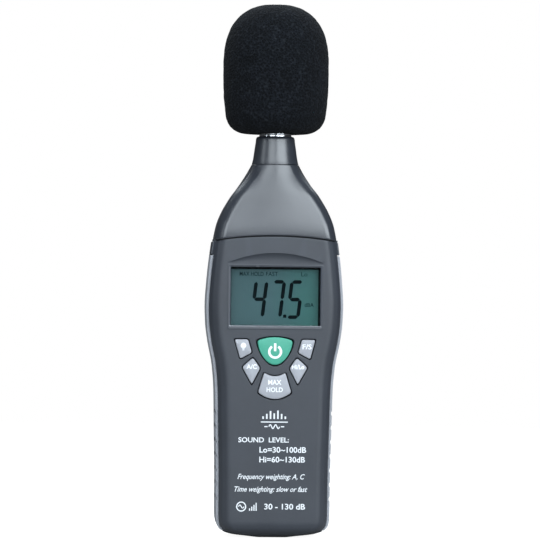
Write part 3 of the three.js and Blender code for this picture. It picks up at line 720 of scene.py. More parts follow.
def window_material():
    """Clear acrylic pane: it lets light through and reflects more at a glancing angle."""
    look = Look("clear_window")
    look.material.blend_method = "BLEND"
    clear = look.node("BsdfTransparent", {"Color": (0.93, 0.97, 0.97, 1)})
    smears = look.span(look.noise(260, 4), 0.04, 0.12, 0.3, 0.7)
    gloss = look.node("BsdfGlossy", {"Color": (0.5, 0.52, 0.54, 1), "Roughness": smears})
    facing = look.node("LayerWeight", {"Blend": 0.25}, "Facing")
    look.surface(look.node("MixShader", {"Fac": look.span(facing, 0.03, 0.6), 1: clear, 2: gloss}))
    look.tree.nodes.remove(look.shader)


CASE_COLOUR = srgb(48, 52, 60)
moulded("case_plastic", CASE_COLOUR, (0.43, 0.51), specular=0.68)
# Paler, glossier copy of the case plastic for the window's lip and walls: the gloss is the finish, while the
# paler tone and strong edge paling are a painted highlight along the lip.
moulded("rim_plastic", shade(CASE_COLOUR, 1.25), (0.2, 0.28), grain_depth=0.006, wear=0.6, specular=1.0,
        coat=0.8)
moulded("head_plastic", srgb(44, 48, 56), (0.29, 0.36), specular=1.0, coat=0.24)
moulded("grip_rubber", srgb(150, 152, 158), (0.7, 0.85), grain=1900, grain_depth=0.04, wear=0.1)
moulded("dark_plastic", srgb(28, 30, 33), (0.5, 0.65))
# Near-black finish for seams and slots: painted shade where the gaps between parts fall dark.
moulded("painted_shade_plastic", srgb(14, 15, 17), (0.7, 0.8), wear=0.0)
moulded("white_plastic", srgb(222, 226, 225), (0.35, 0.5), wear=0.0)
# Dark skirt and post under the keys: a dark keypad mat, made dark also as painted shade in the gaps round the
# keys.
moulded("dark_rubber", srgb(42, 44, 48), (0.75, 0.9), wear=0.1)
moulded("key_grey", srgb(160, 162, 169), (0.4, 0.52), grain=2200, grain_depth=0.03, wear=0.5)
moulded("key_green", srgb(69, 160, 136), (0.38, 0.5), grain=2200, grain_depth=0.03, wear=0.35)
moulded("key_ink", srgb(238, 240, 245), (0.4, 0.5), wear=0.0, variation=0.03)
moulded("print_ink", srgb(226, 229, 233), (0.45, 0.6), wear=0.0, variation=0.05)
moulded("segment_ink", srgb(8, 17, 22), (0.7, 0.8), wear=0.0, specular=0.1)
moulded("faint_ink", srgb(26, 42, 46), (0.7, 0.8), wear=0.0, specular=0.1)
moulded("circuit_board", srgb(28, 84, 52), (0.3, 0.45), grain=900, wear=0.2)
moulded("red_insulation", srgb(168, 40, 32), (0.4, 0.5), wear=0.0)
metal("chrome", srgb(220, 222, 226), (0.14, 0.22), (1, 1, 0.2))
metal("satin_nickel", srgb(158, 160, 166), (0.42, 0.54), (1, 1, 0.2))
metal("screw_steel", srgb(120, 122, 126), (0.25, 0.42))
metal("brass", srgb(188, 150, 84), (0.22, 0.38))
foam_material()
jacket_material()
lcd_material()
window_material()

for part in frame["record"]["subparts"]:
    node = frame["nodes"][part["node"]]
    node.data.materials.clear()
    node.data.materials.append(FINISH[part["material_slot"]])

# ------------ the two halves of the case

TAIL_LEVELS = [0, 0.1, 0.25, 0.45, 0.7, 0.95, 1.25, 1.6, 2.0, 2.45]
LOW_LEVELS = [2.7, 2.95, 3.3, 3.8, 4.4, 5.2, 6.0, 7.0]
HIGH_LEVELS = [111.35, 112.2, 113.2, 114.2, 115.2, 116.2, 117.1]
SEAM_LOW = SEAM_Z - SEAM_WIDTH / 2
SEAM_HIGH = SEAM_Z + SEAM_WIDTH / 2
LIP = 0.32
LIP_DEPTH = 1.5
FLAT_STEPS = 26
FRONT_INSIDE_Y = -11.2
WALL = 0.7


def case_row(s, half_at, inset=0.0):
    """One level of a case half as a row of points; near the seam the level follows the seam's arc."""
    def level_at(z):
        return offset_line(half_at(z), inset) if inset else half_at(z)

    follow = smoothstep(s, 112, SEAM_LOW)
    row = []
    for k, (x, y) in enumerate(level_at(s)):
        z = s - seam_drop(x) * follow
        if follow:
            x, y = level_at(z)[k]
        row.append((x, y, z))
    return row


def full_row(row, flat_y):
    """Both sides of a level joined across the flat middle; flat_y(x, z) is the middle's surface."""
    (x0, _, z0), (x1, _, z1) = row[0], row[-1]
    fall = seam_drop(x1) - seam_drop(x0)
    follow = (z0 - z1) / fall if fall else 0.0
    middle = []
    for x in spread(-x0, x0, FLAT_STEPS)[1:-1]:
        z = z0 + (seam_drop(x0) - seam_drop(x)) * follow
        middle.append((x, flat_y(x, z), z))
    return mirrored(reversed(row)) + middle + row


def case_shell(surface, half, tail_levels, flat_y, inwards):
    """Foot, sides and seam lip of a case half; returns the outline left open for its face flat_y(x, z)."""
    def closed(z):
        return half(z, False)

    def tucked(z):
        return half(z, False, 0.25)

    def channel(z):
        return half(z, True)

    low = [case_row(z, closed) for z in TAIL_LEVELS] + [case_row(CHANNEL["z_low"], tucked)]
    middle = [case_row(z, channel) for z in LOW_LEVELS + spread(9, CHANNEL["z_high"], 44)]
    high = [case_row(CHANNEL["z_high"], tucked)]
    high += [case_row(z, closed) for z in HIGH_LEVELS + [SEAM_LOW - LIP]]
    rows = [full_row(row, flat_y) for row in low + middle[:tail_levels]]
    surface.grid(rows)
    surface.cap(rows[0])
    sides = middle[tail_levels - 1:] + high
    surface.grid(sides)
    surface.grid([mirrored(row) for row in sides])
    top = full_row(sides[-1], flat_y)
    lips = [top]
    levels = [(SEAM_LOW - LIP + LIP * sine, LIP * sink) for sine, sink in quarter(3)[1:]]
    for z, depth in levels + [(SEAM_LOW, LIP_DEPTH)]:
        step = inwards * depth
        lips.append(full_row(case_row(z, closed, step), lambda x, z: flat_y(x, z) + step))
    surface.grid(lips)
    ends = len(sides[0]) - 1
    right = [(row[0][0], row[0][2]) for row in sides[1:-1]]
    outline = [(x, z) for x, _, z in rows[-1][ends:-ends]] + right
    return outline + [(x, z) for x, _, z in reversed(top[ends:-ends])] + [(-x, z) for x, z in reversed(right)]


def arch_scoop(surface):
    """Cove above the display, steep under its arched edge and level at the bottom. Returns its outline."""
    half, flush = ARCH["half_width"], ARCH["z_flush"]
    columns = []
    for x in spread(-half, half, 40):
        top = ARCH["z_end"] + (ARCH["z_apex"] - ARCH["z_end"]) * (1 - (x / half) ** 2)
        tall = top - flush
        deepest = ARCH["depth"] * (tall / (ARCH["z_apex"] - flush)) ** 0.8 * smoothstep(half - abs(x), 0, 1.5)
        column = [(x, FRONT_Y + deepest * (1 - (1 - t) ** 4), top - tall * t) for t in spread(0, 1, 24)]
        columns.append(column + [(x, FRONT_Y, flush)])
    surface.grid([list(row) for row in zip(*columns)])
    return [(c[-1][0], c[-1][2]) for c in columns] + [(c[0][0], c[0][2]) for c in reversed(columns)]


def build_front_case():
    surface = Surface()
    outline = case_shell(surface, front_half, len(LOW_LEVELS), lambda x, z: front_line(z), 1)
    rise, soft = FRAME["rise"], FRAME["soft"]
    face = FRONT_Y - rise
    holes = [arch_scoop(surface), frame_loop(soft)]
    surface.stack([(frame_loop(soft * (1 - sine)), FRONT_Y - rise * sink) for sine, sink in quarter(3)])
    inner, hole = window_loop(WINDOW["chamfer"]), window_loop(0)
    # The window's chamfer and walls take the paler rim finish, a painted highlight along the lip.
    surface.stack([(inner, face), (hole, face + 0.7 * WINDOW["chamfer"]), (hole, FRONT_INSIDE_Y)], mark=1)
    surface.fill(frame_loop(0), [inner], lambda x, z: (x, face, z))
    for key in KEYS.values():
        def key_hole(growth):
            return key_outline(key, KEY_OPENING + growth)

        holes.append(surface.opening(key_hole, FRONT_INSIDE_Y, 0.2, FRONT_Y))
    surface.fill(outline, holes, lambda x, z: (x, front_line(z), z))
    make("front_case_moulding", surface, "case_plastic", ["front_case"],
         looks=["case_plastic", "rim_plastic"], wall=WALL)


def build_rear_case():
    surface = Surface()
    outline = case_shell(surface, rear_half, LOW_LEVELS.index(5.2) + 1, rear_y, -1)
    ledge = COVER["ledge_y"]
    holes = [surface.opening(cover_loop, ledge, 0.25, rear_y)]
    hollow = surface.opening(tray_loop, TRAY["y_front"], 0.15, ledge)
    surface.cap(lift(tray_loop(0), TRAY["y_front"]))
    screw_hole = surface.opening(lambda g: circle(COVER_SCREW, 1.3 + g, 20), 12, 0.1, ledge)
    surface.fill(cover_loop(0), [hollow, screw_hole], lambda x, z: (x, ledge, z))
    wells = [(at, 2.7, 32, 13.3, 0.3) for at in CASE_SCREWS]
    wells += [((0, TRIPOD["z"]), TRIPOD["radius"] + GAP, 48, 9.2, 0.35), (TRIMMER, 1.9, 28, 10, 0.25)]
    for at, radius, sides, depth_to, lip in wells:
        holes.append(surface.opening(lambda g: circle(at, radius + g, sides), depth_to, lip, rear_y))
        if at != TRIMMER:
            surface.cap(lift(circle(at, radius, sides), depth_to))
    spots = [(x, z) for z in spread(6, 100, 47) + spread(100.8, 118.4, 22) for x in spread(-18, 18, 12)]
    extra = [spot for spot in spots if inside(spot, outline) and clear_of(spot, holes + [outline], 1.0)]
    surface.fill(outline, holes, lambda x, z: (x, rear_y(x, z), z), extra)
    make("rear_case_moulding", surface, "case_plastic", ["rear_case"], wall=WALL)


def build_parting_tongue():
    """A near-black lip just behind the line where the two halves of the case meet: painted shade in the seam.
    """
    surface = Surface()
    foot = [(0, 0), (7, 0), (10.3, 0.5), (15.8, 1.2), (19.4, 2.4), (20.9, 3.6)]
    path = offset_line(foot, 0.35)[:-1]
    path += [(case_width(z) - 3.2, z) for z in spread(4.2, 111, 40)]
    path += [(case_width(z) - 0.95, z) for z in (111.5, 113, 115, SEAM_LOW - seam_drop(24) - 0.2)]
    outline = [(-x, z) for x, z in reversed(path[1:])] + path
    inner = [(x * 0.95, z + 0.8) for x, z in outline]
    low, high = PARTING_Y - 1.1, PARTING_Y + 1.1
    sections = [(outline, low), (outline, high), (inner, high), (inner, low), (outline, low)]
    surface.grid([lift(line, y) for line, y in sections])
    make("case_tongue", surface, "dark_plastic", looks=["painted_shade_plastic"])


build_front_case()
build_rear_case()
build_parting_tongue()

# ------------ head and neck


def head_row(s, inset=0.0):
    follow = 1 - smoothstep(s, SEAM_HIGH, 127)
    row = []
    for k, (x, _) in enumerate(head_half(s)):
        z = s - seam_drop(x) * follow
        there = offset_line(head_half(z), inset) if inset else head_half(z)
        row.append((*there[k], z))
    for end in (0, -1):
        row[end] = (0.0, *row[end][1:])
    return row + mirrored(reversed(row[1:-1]))


def build_head():
    surface = Surface()
    rows = [head_row(SEAM_HIGH, 1.6)]
    rows += [head_row(SEAM_HIGH + 0.3 * sink, 0.3 * (1 - s)) for s, sink in quarter(3)]
    rows += [head_row(s) for s in spread(SEAM_HIGH + 0.8, NECK_SEAM_Z - 0.14, 56)]
    rows += [head_row(NECK_SEAM_Z - 0.03, 0.04), head_row(NECK_SEAM_Z, 0.14), head_row(NECK_SEAM_Z, 2.2)]
    surface.grid(rows, closed=True)
    make("head_moulding", surface, "head_plastic", ["head_shell"], wall=WALL)
    # Near-black bands in the seam under the head and in the neck seam: painted shade between the parts.
    tongue = Surface()
    low, high = SEAM_LOW - 0.25, SEAM_HIGH + 0.25
    sections = [(low, 2.6), (low, 0.85), (high, 0.85), (high, 2.6), (low, 2.6)]
    tongue.grid([head_row(s, inset) for s, inset in sections], closed=True)
    neck = MIC_RADIUS + GAP
    low, high = NECK_SEAM_Z - 0.4, NECK_SEAM_Z + 0.6
    tongue.turned([(8.5, low), (8.5, high), (neck, high), (neck, low), (8.5, low)], 64)
    make("head_tongue", tongue, "dark_plastic", looks=["painted_shade_plastic"])


def build_collar():
    surface = Surface()
    bore = MIC_RADIUS + GAP
    width = head_width(COLLAR_Z)
    profile = [(bore, COLLAR_Z), (width - 0.12, COLLAR_Z), (width - 0.03, COLLAR_Z + 0.03)]
    profile += [(head_width(z), z) for z in spread(COLLAR_Z + 0.14, 155.6, 16)]
    profile += [(7.72, 156.2), (7.64, 156.7), (7.5, 157.12), (7.3, 157.43), (7.08, 157.6), (6.9, 157.68)]
    profile += [(bore + 0.12, NECK_TOP_Z), (bore, 157.6), (bore, COLLAR_Z + 0.08)]
    surface.turned(profile, 96)
    make("neck_ring", surface, "head_plastic", ["neck_collar"])


build_head()
build_collar()

# ------------ side grips


def grip_levels():
    levels = [3.0, 3.05, 3.2, 3.45, 3.9, 4.6, 5.5, 6.5, 7.5, 9, 10.5, 12, 13.2]
    z = 14.0
    while z < SCALLOP["z_first"] + SCALLOP["pitch"] * SCALLOP["count"]:
        levels.append(z)
        z += 0.2
    return levels + spread(z, 109.8, 34) + [110.35, 110.6, 110.75, 110.8]


def scallop_depth(z):
    radius = SCALLOP["radius"]
    off = min(abs(z - SCALLOP["z_first"] - i * SCALLOP["pitch"]) for i in range(SCALLOP["count"]))
    if off >= radius:
        return 0.0
    return max(0.0, sqrt(radius * radius - off * off) - (radius - SCALLOP["depth"]))


def build_grip(side, name):
    surface = Surface()
    rows = []
    for z in grip_levels():
        w = case_width(z)
        end = min(1.0, sqrt(max(0.0, min(z - GRIP["z_low"], GRIP["z_high"] - z)) / 0.45))
        tuck = 0.35 * (1 - end)
        outer = w - scallop_depth(z) - tuck
        inner = w - GRIP["thickness"]
        edge = w - LEDGE
        front, back = GRIP["y_front"] + tuck, GRIP["y_back"] - tuck
        corners = [(inner, 0), (inner, front), (edge, front), (outer, front), (outer, 0.1), (outer, back)]
        line = fillet(corners + [(inner, back), (inner, 0)], [0.15, 0.1, 1.3, 0.1, 0.45, 0.15])
        rows.append([(side * x, y, z) for x, y in line[:-1]])
    surface.grid(rows, closed=True)
    surface.cap(rows[0])
    surface.cap(rows[-1])
    make("side_" + name, surface, "grip_rubber", [name], sharp=50)


build_grip(-1, "grip_left")
build_grip(1, "grip_right")

# ------------ thin marks laid on a surface


class Marks:
    """Strokes and letters in X and Z, laid just above a surface as a closed thin sheet."""

    def __init__(self):
        self.shapes = []

    def stroke(self, points, width, closed=False):
        """A band of even width along points."""
        line = [Vector(p) for p in points]
        if closed:
            line.append(line[0])
        left, right = [], []
        for i, here in enumerate(line):
            ahead = line[(i + 1) if i + 1 < len(line) else (1 if closed else i)] - here
            back = here - line[(i - 1) if i else (-2 if closed else 0)]
            way = (ahead.normalized() + back.normalized()).normalized()
            bend = max(0.5, way.dot((ahead if ahead.length else back).normalized()))
            across = Vector((-way.y, way.x)) * (width / 2 / bend)
            left.append(here + across)
            right.append(here - across)
        for i in range(len(line) - 1):
            self.shapes.append([left[i], left[i + 1], right[i + 1], right[i]])

    def text(self, words, left, right, low, high, slant=0.0, bold=0.0):
        """Words fitted between left and right, low and high."""
        curve = bpy.data.curves.new("words", "FONT")
        curve.body = words
        curve.offset = bold
        curve.shear = slant
        curve.resolution_u = 3
        holder = put("words", curve)
        graph = bpy.context.evaluated_depsgraph_get()
        mesh = bpy.data.meshes.new_from_object(holder.evaluated_get(graph))
        xs = [v.co.x for v in mesh.vertices]
        ys = [v.co.y for v in mesh.vertices]
        sx = (right - left) / (max(xs) - min(xs))
        sz = (high - low) / (max(ys) - min(ys))
        spots = [(left + (x - min(xs)) * sx, low + (y - min(ys)) * sz) for x, y in zip(xs, ys)]
        self.shapes += [[spots[i] for i in polygon.vertices] for polygon in mesh.polygons]
        bpy.data.objects.remove(holder)
        bpy.data.meshes.remove(mesh)
        bpy.data.curves.remove(curve)

    def bars(self, left, low, heights, pitch, width):
        """A row of level bars."""
        for i, height in enumerate(heights):
            x = left + pitch * i
            self.stroke([(x, low), (x, low + height)], width)

    def lay(self, name, look, slot, height_at, body="housing", thickness=0.03, fine=0.0):
        """Lays the marks thickness above the surface height_at(x, z); fine cuts them up to follow a dome."""
        bm = bmesh.new()
        for shape in self.shapes:
            ring = [tuple(p) for p in shape]
            if area_of(ring) < 0:
                ring.reverse()
            if abs(area_of(ring)) > 1e-6:
                bm.faces.new([bm.verts.new((x, 0, z)) for x, z in ring])
        if fine:
            bmesh.ops.triangulate(bm, faces=bm.faces)
            for _ in range(4):
                long_edges = [e for e in bm.edges if e.calc_length() > fine]
                bmesh.ops.subdivide_edges(bm, edges=long_edges, cuts=1)
                bmesh.ops.triangulate(bm, faces=bm.faces)
        surface = Surface()
        for face in bm.faces:
            surface.cap([(v.co.x, height_at(v.co.x, v.co.z) - thickness, v.co.z) for v in face.verts])
        bm.free()
        make(name, surface, slot, body=body, looks=[look], weighted=False, sharp=60, wall=thickness * 0.5,
             sheet=True)


def front_of(piece):
    """Function giving the y of a piece's front at (x, z), in millimetres."""
    points = [v.co / MM for v in piece.data.vertices]
    tree = BVHTree.FromPolygons(points, [tuple(p.vertices) for p in piece.data.polygons])

    def height(x, z):
        hit = tree.ray_cast(Vector((x, -60, z)), Vector((0, 1, 0)))
        return hit[0].y if hit[0] is not None else KEY_TOP_Y

    return height


# ------------ keys

KEY_RIM_Y = -13.36
KEY_ROUND = 0.42
KEY_BACK_Y = -10.5


def build_key(name, key):
    surface = Surface()
    inset = KEY_OPENING - KEY_GAP
    skirt = key_outline(key, KEY_OPENING + 0.28)
    foot = (key_outline(key, inset + 0.02), -10.92)
    # The skirt seen in the gap round the cap is dark: a dark mat, and painted shade in the gap.
    surface.stack([(skirt, KEY_BACK_Y), (skirt, -10.9), foot], mark=1)
    rings = [foot]
    for sine, sink in quarter(4):
        rings.append((key_outline(key, inset - KEY_ROUND * sink), KEY_RIM_Y + KEY_ROUND * (1 - sine)))
    rim = key_outline(key, inset - KEY_ROUND)
    centre = Vector(key["centre"])
    for t in (0.08, 0.2, 0.35, 0.5, 0.65, 0.8, 0.92):
        y = lerp(KEY_RIM_Y, KEY_TOP_Y, 1 - (1 - t) ** 2.2)
        rings.append(([centre.lerp(Vector(p), 1 - t) for p in rim], y))
    surface.stack(rings)
    surface.cap(lift(*rings[-1]))
    surface.turned_y([(1.6, KEY_BACK_Y), (1.6, -8.8), (1.4, -8.6), (0.01, -8.6)], 16, key["centre"], mark=1)
    surface.cap(lift(skirt, KEY_BACK_Y), mark=1)
    slot = "key_green" if name == "power" else "key_grey"
    return make("cap_" + name, surface, slot, ["key_" + name], name + "_key", [slot, "dark_rubber"], sharp=50)


LEGENDS = {
    "response": [("F/S", 10.7, 14.3, 74.2, 76.2, 0.02)],
    "weighting": [("A/C", -11.1, -7.1, 66.4, 68.2, 0.02)],
    "range": [("Hi/Lo", 6.7, 11.5, 66.4, 68.2, 0.02)],
    "max_hold": [("MAX", -2.6, 2.6, 60.3, 62.2, 0.025), ("HOLD", -3.2, 3.2, 57.4, 59.3, 0.025)],
}


def key_marks(name):
    marks = Marks()
    if name == "power":
        marks.stroke(arc((0, 73.2), 2.3, 122, 418, 36), 0.95)
        marks.stroke([(0, 73.4), (0, 76.5)], 0.95)
    if name == "backlight":
        marks.shapes.append(arc((-12.4, 75.5), 1.1, -50, 230, 16))
        marks.stroke([(-12.85, 74.3), (-11.95, 74.3)], 0.3)
        marks.stroke([(-12.8, 73.8), (-12.0, 73.8)], 0.3)
    for words, left, right, low, high, bold in LEGENDS.get(name, []):
        marks.text(words, left, right, low, high, bold=bold)
    return marks


for name, key in KEYS.items():
    front = front_of(build_key(name, key))
    key_marks(name).lay("legend_" + name, "key_ink", "key_grey", front, name + "_key", fine=0.6)

# ------------ front print


def wave(left, right, z, height, cycles):
    steps = spread(0, 1, 20 * cycles)
    return [(lerp(left, right, t), z + height * sin(2 * pi * cycles * t)) for t in steps]


def front_print():
    marks = Marks()
    marks.bars(-4.4, 46.9, [1.0, 2.0, 3.1, 2.2, 3.3, 2.0, 1.0], 1.45, 0.62)
    marks.stroke([(-5.3, 45.7), (5.3, 45.7)], 0.4)
    marks.stroke([(-3.9, 43.9), (-2.6, 43.9)], 0.42)
    marks.stroke(wave(-2.1, 2.1, 43.9, 0.75, 2), 0.42)
    marks.stroke([(2.6, 43.9), (3.9, 43.9)], 0.42)
    marks.text("SOUND  LEVEL:", -14.0, 5.8, 37.7, 39.7, bold=0.02)
    marks.text("Lo=30~100dB", -5.7, 12.6, 33.7, 36.0, bold=0.02)
    marks.text("Hi=60~130dB", -5.7, 12.2, 29.9, 32.2, bold=0.02)
    marks.text("Frequency weighting: A, C", -14.2, 12.2, 22.7, 25.4, 0.35, 0.012)
    marks.text("Time weighting: slow or fast", -15.3, 13.2, 17.8, 20.5, 0.35, 0.012)
    marks.stroke(arc((-12.6, 12.6), 1.75, 0, 360, 30)[:-1], 0.45, closed=True)
    marks.stroke(wave(-13.7, -11.5, 12.6, 0.6, 1), 0.36)
    marks.bars(-9.3, 11.0, [0.9, 1.6, 2.3, 3.1], 0.85, 0.45)
    marks.text("30 - 130 dB", -3.6, 12.4, 11.5, 13.8, bold=0.02)
    return marks


front_print().lay("front_print", "print_ink", "white_plastic", lambda x, z: FRONT_Y)

# ------------ display

SLANT = 0.12
DIGIT = {"z_low": 86.0, "height": 15.2, "half_width": 2.05, "stroke": 1.42}
SEGMENTS = {"4": "fgbc", "7": "abc", "5": "afgcd"}


def slab(surface, box, y0, y1, edge):
    """A block of a box's outline with rounded corners and softened front and back edges."""
    soft = [(edge, 0), (edge * 0.3, edge * 0.3), (0, edge)]
    front = [(inset, y0 + step) for inset, step in soft]
    back = [(inset, y1 - step) for inset, step in reversed(soft)]
    rings = [(box_outline(box, edge * 1.5 + inset, 3)(-inset), y) for inset, y in front + back]
    surface.stack(rings)
    surface.cap(lift(*rings[0]))
    surface.cap(lift(*rings[-1]))


def build_display():
    front = LCD["y_front"]
    panel = Surface()
    slab(panel, LCD, front, front + LCD["thickness"], 0.12)
    make("lcd_cell", panel, "lcd_glass", ["lcd_panel"])
    pane = Surface()
    for plate, edge in ((PANE, 0.1), (PANE_FACE, 0.15)):
        slab(pane, plate, plate["y_front"], plate["y_back"], edge)
    make("window_pane", pane, "clear_window", ["display_window"])


def digit(marks, figure, centre):
    half, stroke = DIGIT["half_width"], DIGIT["stroke"]
    low, high = DIGIT["z_low"] + stroke / 2, DIGIT["z_low"] + DIGIT["height"] - stroke / 2
    middle = (low + high) / 2
    ends = {letter: ((-half, z), (half, z)) for letter, z in (("a", high), ("g", middle), ("d", low))}
    ends["f"] = ((-half, high), (-half, middle))
    ends["b"] = ((half, high), (half, middle))
    ends["c"] = ((half, middle), (half, low))
    for letter in SEGMENTS[figure]:
        start, end = (Vector(p) for p in ends[letter])
        along = (end - start).normalized()
        across = Vector((-along.y, along.x)) * stroke / 2
        a, b = start + along * 0.06, end - along * 0.06
        tip = along * stroke / 2
        shape = [a, a + tip + across, b - tip + across, b, b - tip - across, a + tip - across]
        marks.shapes.append([(centre + p.x + (p.y - middle) * SLANT, p.y) for p in shape])


def build_segments():
    front = LCD["y_front"]
    figures = Marks()
    for figure, centre in [("4", -6.2), ("7", 0.7), ("5", 7.8)]:
        digit(figures, figure, centre)
    figures.shapes.append(rounded_box(3.2, 4.5, 86.4, 87.7, 0.25, 3))
    figures.lay("lcd_figures", "segment_ink", "lcd_glass", lambda x, z: front, thickness=0.05)
    # A dark sheet on the display's face, 1.4 mm wide at the top, 1.0 at the right and 0.5 to 0.6 elsewhere:
    # painted shade for the shadows of the window's walls.
    shade_sheet = Surface()
    hole = rounded_box(-17.35, 16.95, 83.35, 105.35, 0.1, 2)
    shade_sheet.fill(rounded_box(-17.95, 17.95, 82.85, 106.75, 0.1, 2), [hole], lambda x, z: (x, front - 0.04, z))
    make("lcd_painted_shade_border", shade_sheet, "lcd_glass", looks=["segment_ink"], wall=0.02, weighted=False, sheet=True)
    small = Marks()
    small.text("dBA", 11.6, 15.2, 90.8, 92.3, bold=0.01)
    small.text("MAX HOLD", -14.0, -4.6, 102.7, 104.4, bold=0.01)
    small.text("FAST", -3.6, 1.0, 102.7, 104.4)
    small.text("Lo", 10.2, 12.6, 102.7, 104.4)
    small.lay("lcd_annunciators", "faint_ink", "lcd_glass", lambda x, z: front, thickness=0.04)


build_display()
build_segments()

# ------------ microphone


def build_microphone():
    barrel = Surface()
    outer = MIC_RADIUS
    barrel.turned([
        (5.3, 134), (8, 134), (8, 136), (outer, 136), (outer, 158.2), (outer - 0.1, 158.35),
        (outer - 0.1, 158.5), (outer, 158.65), (outer, 168.6), (outer - 0.25, 168.8), (outer - 0.25, 169.2),
        (outer, 169.4), (outer, 171.3), (outer - 0.15, 171.5), (5.3, 171.5), (5.3, 134),
    ], 96)
    make("microphone_tube", barrel, "chrome", ["microphone_barrel"])
    cap = Surface()
    low, high, hole = 171.8, 175.8, 5.4
    cap.turned([
        (5.55, low), (outer - 0.1, low), (outer, low + 0.1), (outer, high - 0.55), (outer - 0.12, high - 0.3),
        (outer - 0.38, high - 0.08), (outer - 0.7, high), (hole, high),
    ], 96)
    slots = []
    for radius, count, length in [(1.9, 6, 0.75), (4.1, 12, 0.9)]:
        for i in range(count):
            turn = 2 * pi * (i + 0.5) / count
            along = Vector((-sin(turn), cos(turn)))
            middle = Vector((cos(turn), sin(turn))) * radius
            slots.append(capsule(middle - along * length / 2, middle + along * length / 2, 0.33))
    cap.fill(circle((0, 0), hole, 96), slots, lambda x, y: (x, y, high))
    for slot_loop in slots:
        cap.grid([[(x, y, z) for x, y in slot_loop] for z in (high, high - 0.55)], closed=True)
    make("microphone_grid_cap", cap, "chrome", ["microphone_grid"], looks=["satin_nickel"], wall=0.5)


build_microphone()

# ------------ windscreen

FOAM_BORE = MIC_RADIUS + 0.35
PORE_MIDDLE = (172, 182)


def foam_profile():
    radius, wide, low, corner = (FOAM[key] for key in ("radius", "z_wide", "z_bottom", "corner"))
    dome, power = FOAM["top"] - wide, 2 / FOAM["power"]
    turns = spread(0.012, pi / 2, 60)
    profile = [(radius * sin(turn) ** power, wide + dome * cos(turn) ** power) for turn in turns]
    bottom = low + corner
    profile += [(radius - ((wide - z) / (wide - bottom)) ** 3, z) for z in spread(wide, bottom, 22)[1:]]
    profile += [(radius - 1 - corner * sink, bottom - corner * sine) for sine, sink in quarter(24)[1:]]
    profile += [(r, low) for r in spread(profile[-1][0], FOAM_BORE + 0.6, 8)[1:]]
    profile += [(FOAM_BORE + 0.15, low + 0.15), (FOAM_BORE, low + 0.6)]
    profile += [(FOAM_BORE, z) for z in spread(low + 1.2, FOAM["bore_top"], 14)] + [(0.05, FOAM["bore_top"])]
    return evened(profile, 0.62)


def evened(profile, step):
    """The same profile with its points about step apart."""
    points = [Vector(profile[0])]
    for a, b in zip(profile, profile[1:]):
        a, b = Vector(a), Vector(b)
        count = max(1, round((b - a).length / step))
        points += [a.lerp(b, k / count) for k in range(1, count + 1)]
    kept = [points[0]]
    for point in points[1:-1]:
        if (point - kept[-1]).length > step * 0.8:
            kept.append(point)
    return [tuple(p) for p in kept + [points[-1]]]


def pored(x, y, z):
    """A point of the windscreen sunk by the foam's lumps and pores; the bore stays true."""
    if hypot(x, y) <= FOAM_BORE + 0.02 and z < FOAM["bore_top"] + 0.7:
        return (x, y, z)
    point = Vector((x, y, z))
    coarse = noise.noise(point * 0.35) * 0.1
    fine = noise.noise(point * 1.15 + Vector((7, 3, 1)))
    pores = noise.noise(point * 2.1 + Vector((1, 9, 4)))
    depth = 0.12 + coarse + 0.16 * max(0.0, fine) + 0.2 * max(0.0, pores)
    low, high = PORE_MIDDLE
    outward = Vector((x, y, 0.55 * max(0, z - high) + 0.4 * min(0, z - low))).normalized()
    return tuple(point - outward * max(0.02, depth))


def build_windscreen():
    surface = Surface()
    surface.turned(foam_profile(), 210)
    surface.cap([(0.3 * cos(t), 0.3 * sin(t), 209.99) for t in spread(0, 2 * pi, 12)[:-1]])
    surface.points = [pored(*point) for point in surface.points]
    piece = make("foam_windscreen", surface, "foam", ["windscreen"], "windscreen", sharp=180, weighted=False)


build_windscreen()

# ------------ battery door


def build_cover():
    surface = Surface()
    y_in, y_out, soft = COVER["ledge_y"] + GAP, BACK_Y, 0.35
    edge = box_outline(COVER, 1.0 + GAP, 5)

    def loop(growth):
        return edge(growth - GAP)

    rounding = [(loop(-soft * sink), y_out - soft + soft * sine) for sine, sink in quarter(3)]
    surface.stack([(loop(0), y_in)] + rounding)
    holes = [surface.opening(lambda g: circle(COVER_SCREW, 1.3 + g, 24), y_in, 0.2, y_out)]
    for z in (20 + row * 2.4 for row in range(4)):
        def groove(growth):
            return rounded_box(-6 - growth, 6 + growth, z - growth, z + 1.2 + growth, 0.55 + growth, 4)

        holes.append(surface.opening(groove, y_out - 0.5, 0.15, y_out))
        surface.cap(lift(groove(0), y_out - 0.5))

    def arrow(growth):
        share = 1 + growth / 2
        return [(x * share, 32.5 + z * share) for x, z in [(-3.4, 1.7), (3.4, 1.7), (0, -2.1)]]

    holes.append(surface.opening(arrow, y_out - 0.6, 0.15, y_out, steps=2))
    surface.cap(lift(arrow(0), y_out - 0.6))
    surface.fill(loop(-soft), holes, lambda x, z: (x, y_out, z))
    surface.fill(loop(0), [circle(COVER_SCREW, 1.3, 24)], lambda x, z: (x, y_in, z))
    make("battery_door_plate", surface, "case_plastic", ["battery_cover"], "battery_door")
    rim = Surface()
    sections = [(0, y_in), (0, 17.1), (0.2, 16.9), (0.8, 16.9), (1.0, 17.1), (1.0, y_in), (0, y_in)]
    rim.stack([(rounded_box(t - 13.2, 13.2 - t, 15.6 + t, 69.6 - t, 0.9, 4), y) for t, y in sections])
    make("battery_door_rim", rim, "case_plastic", body="battery_door")


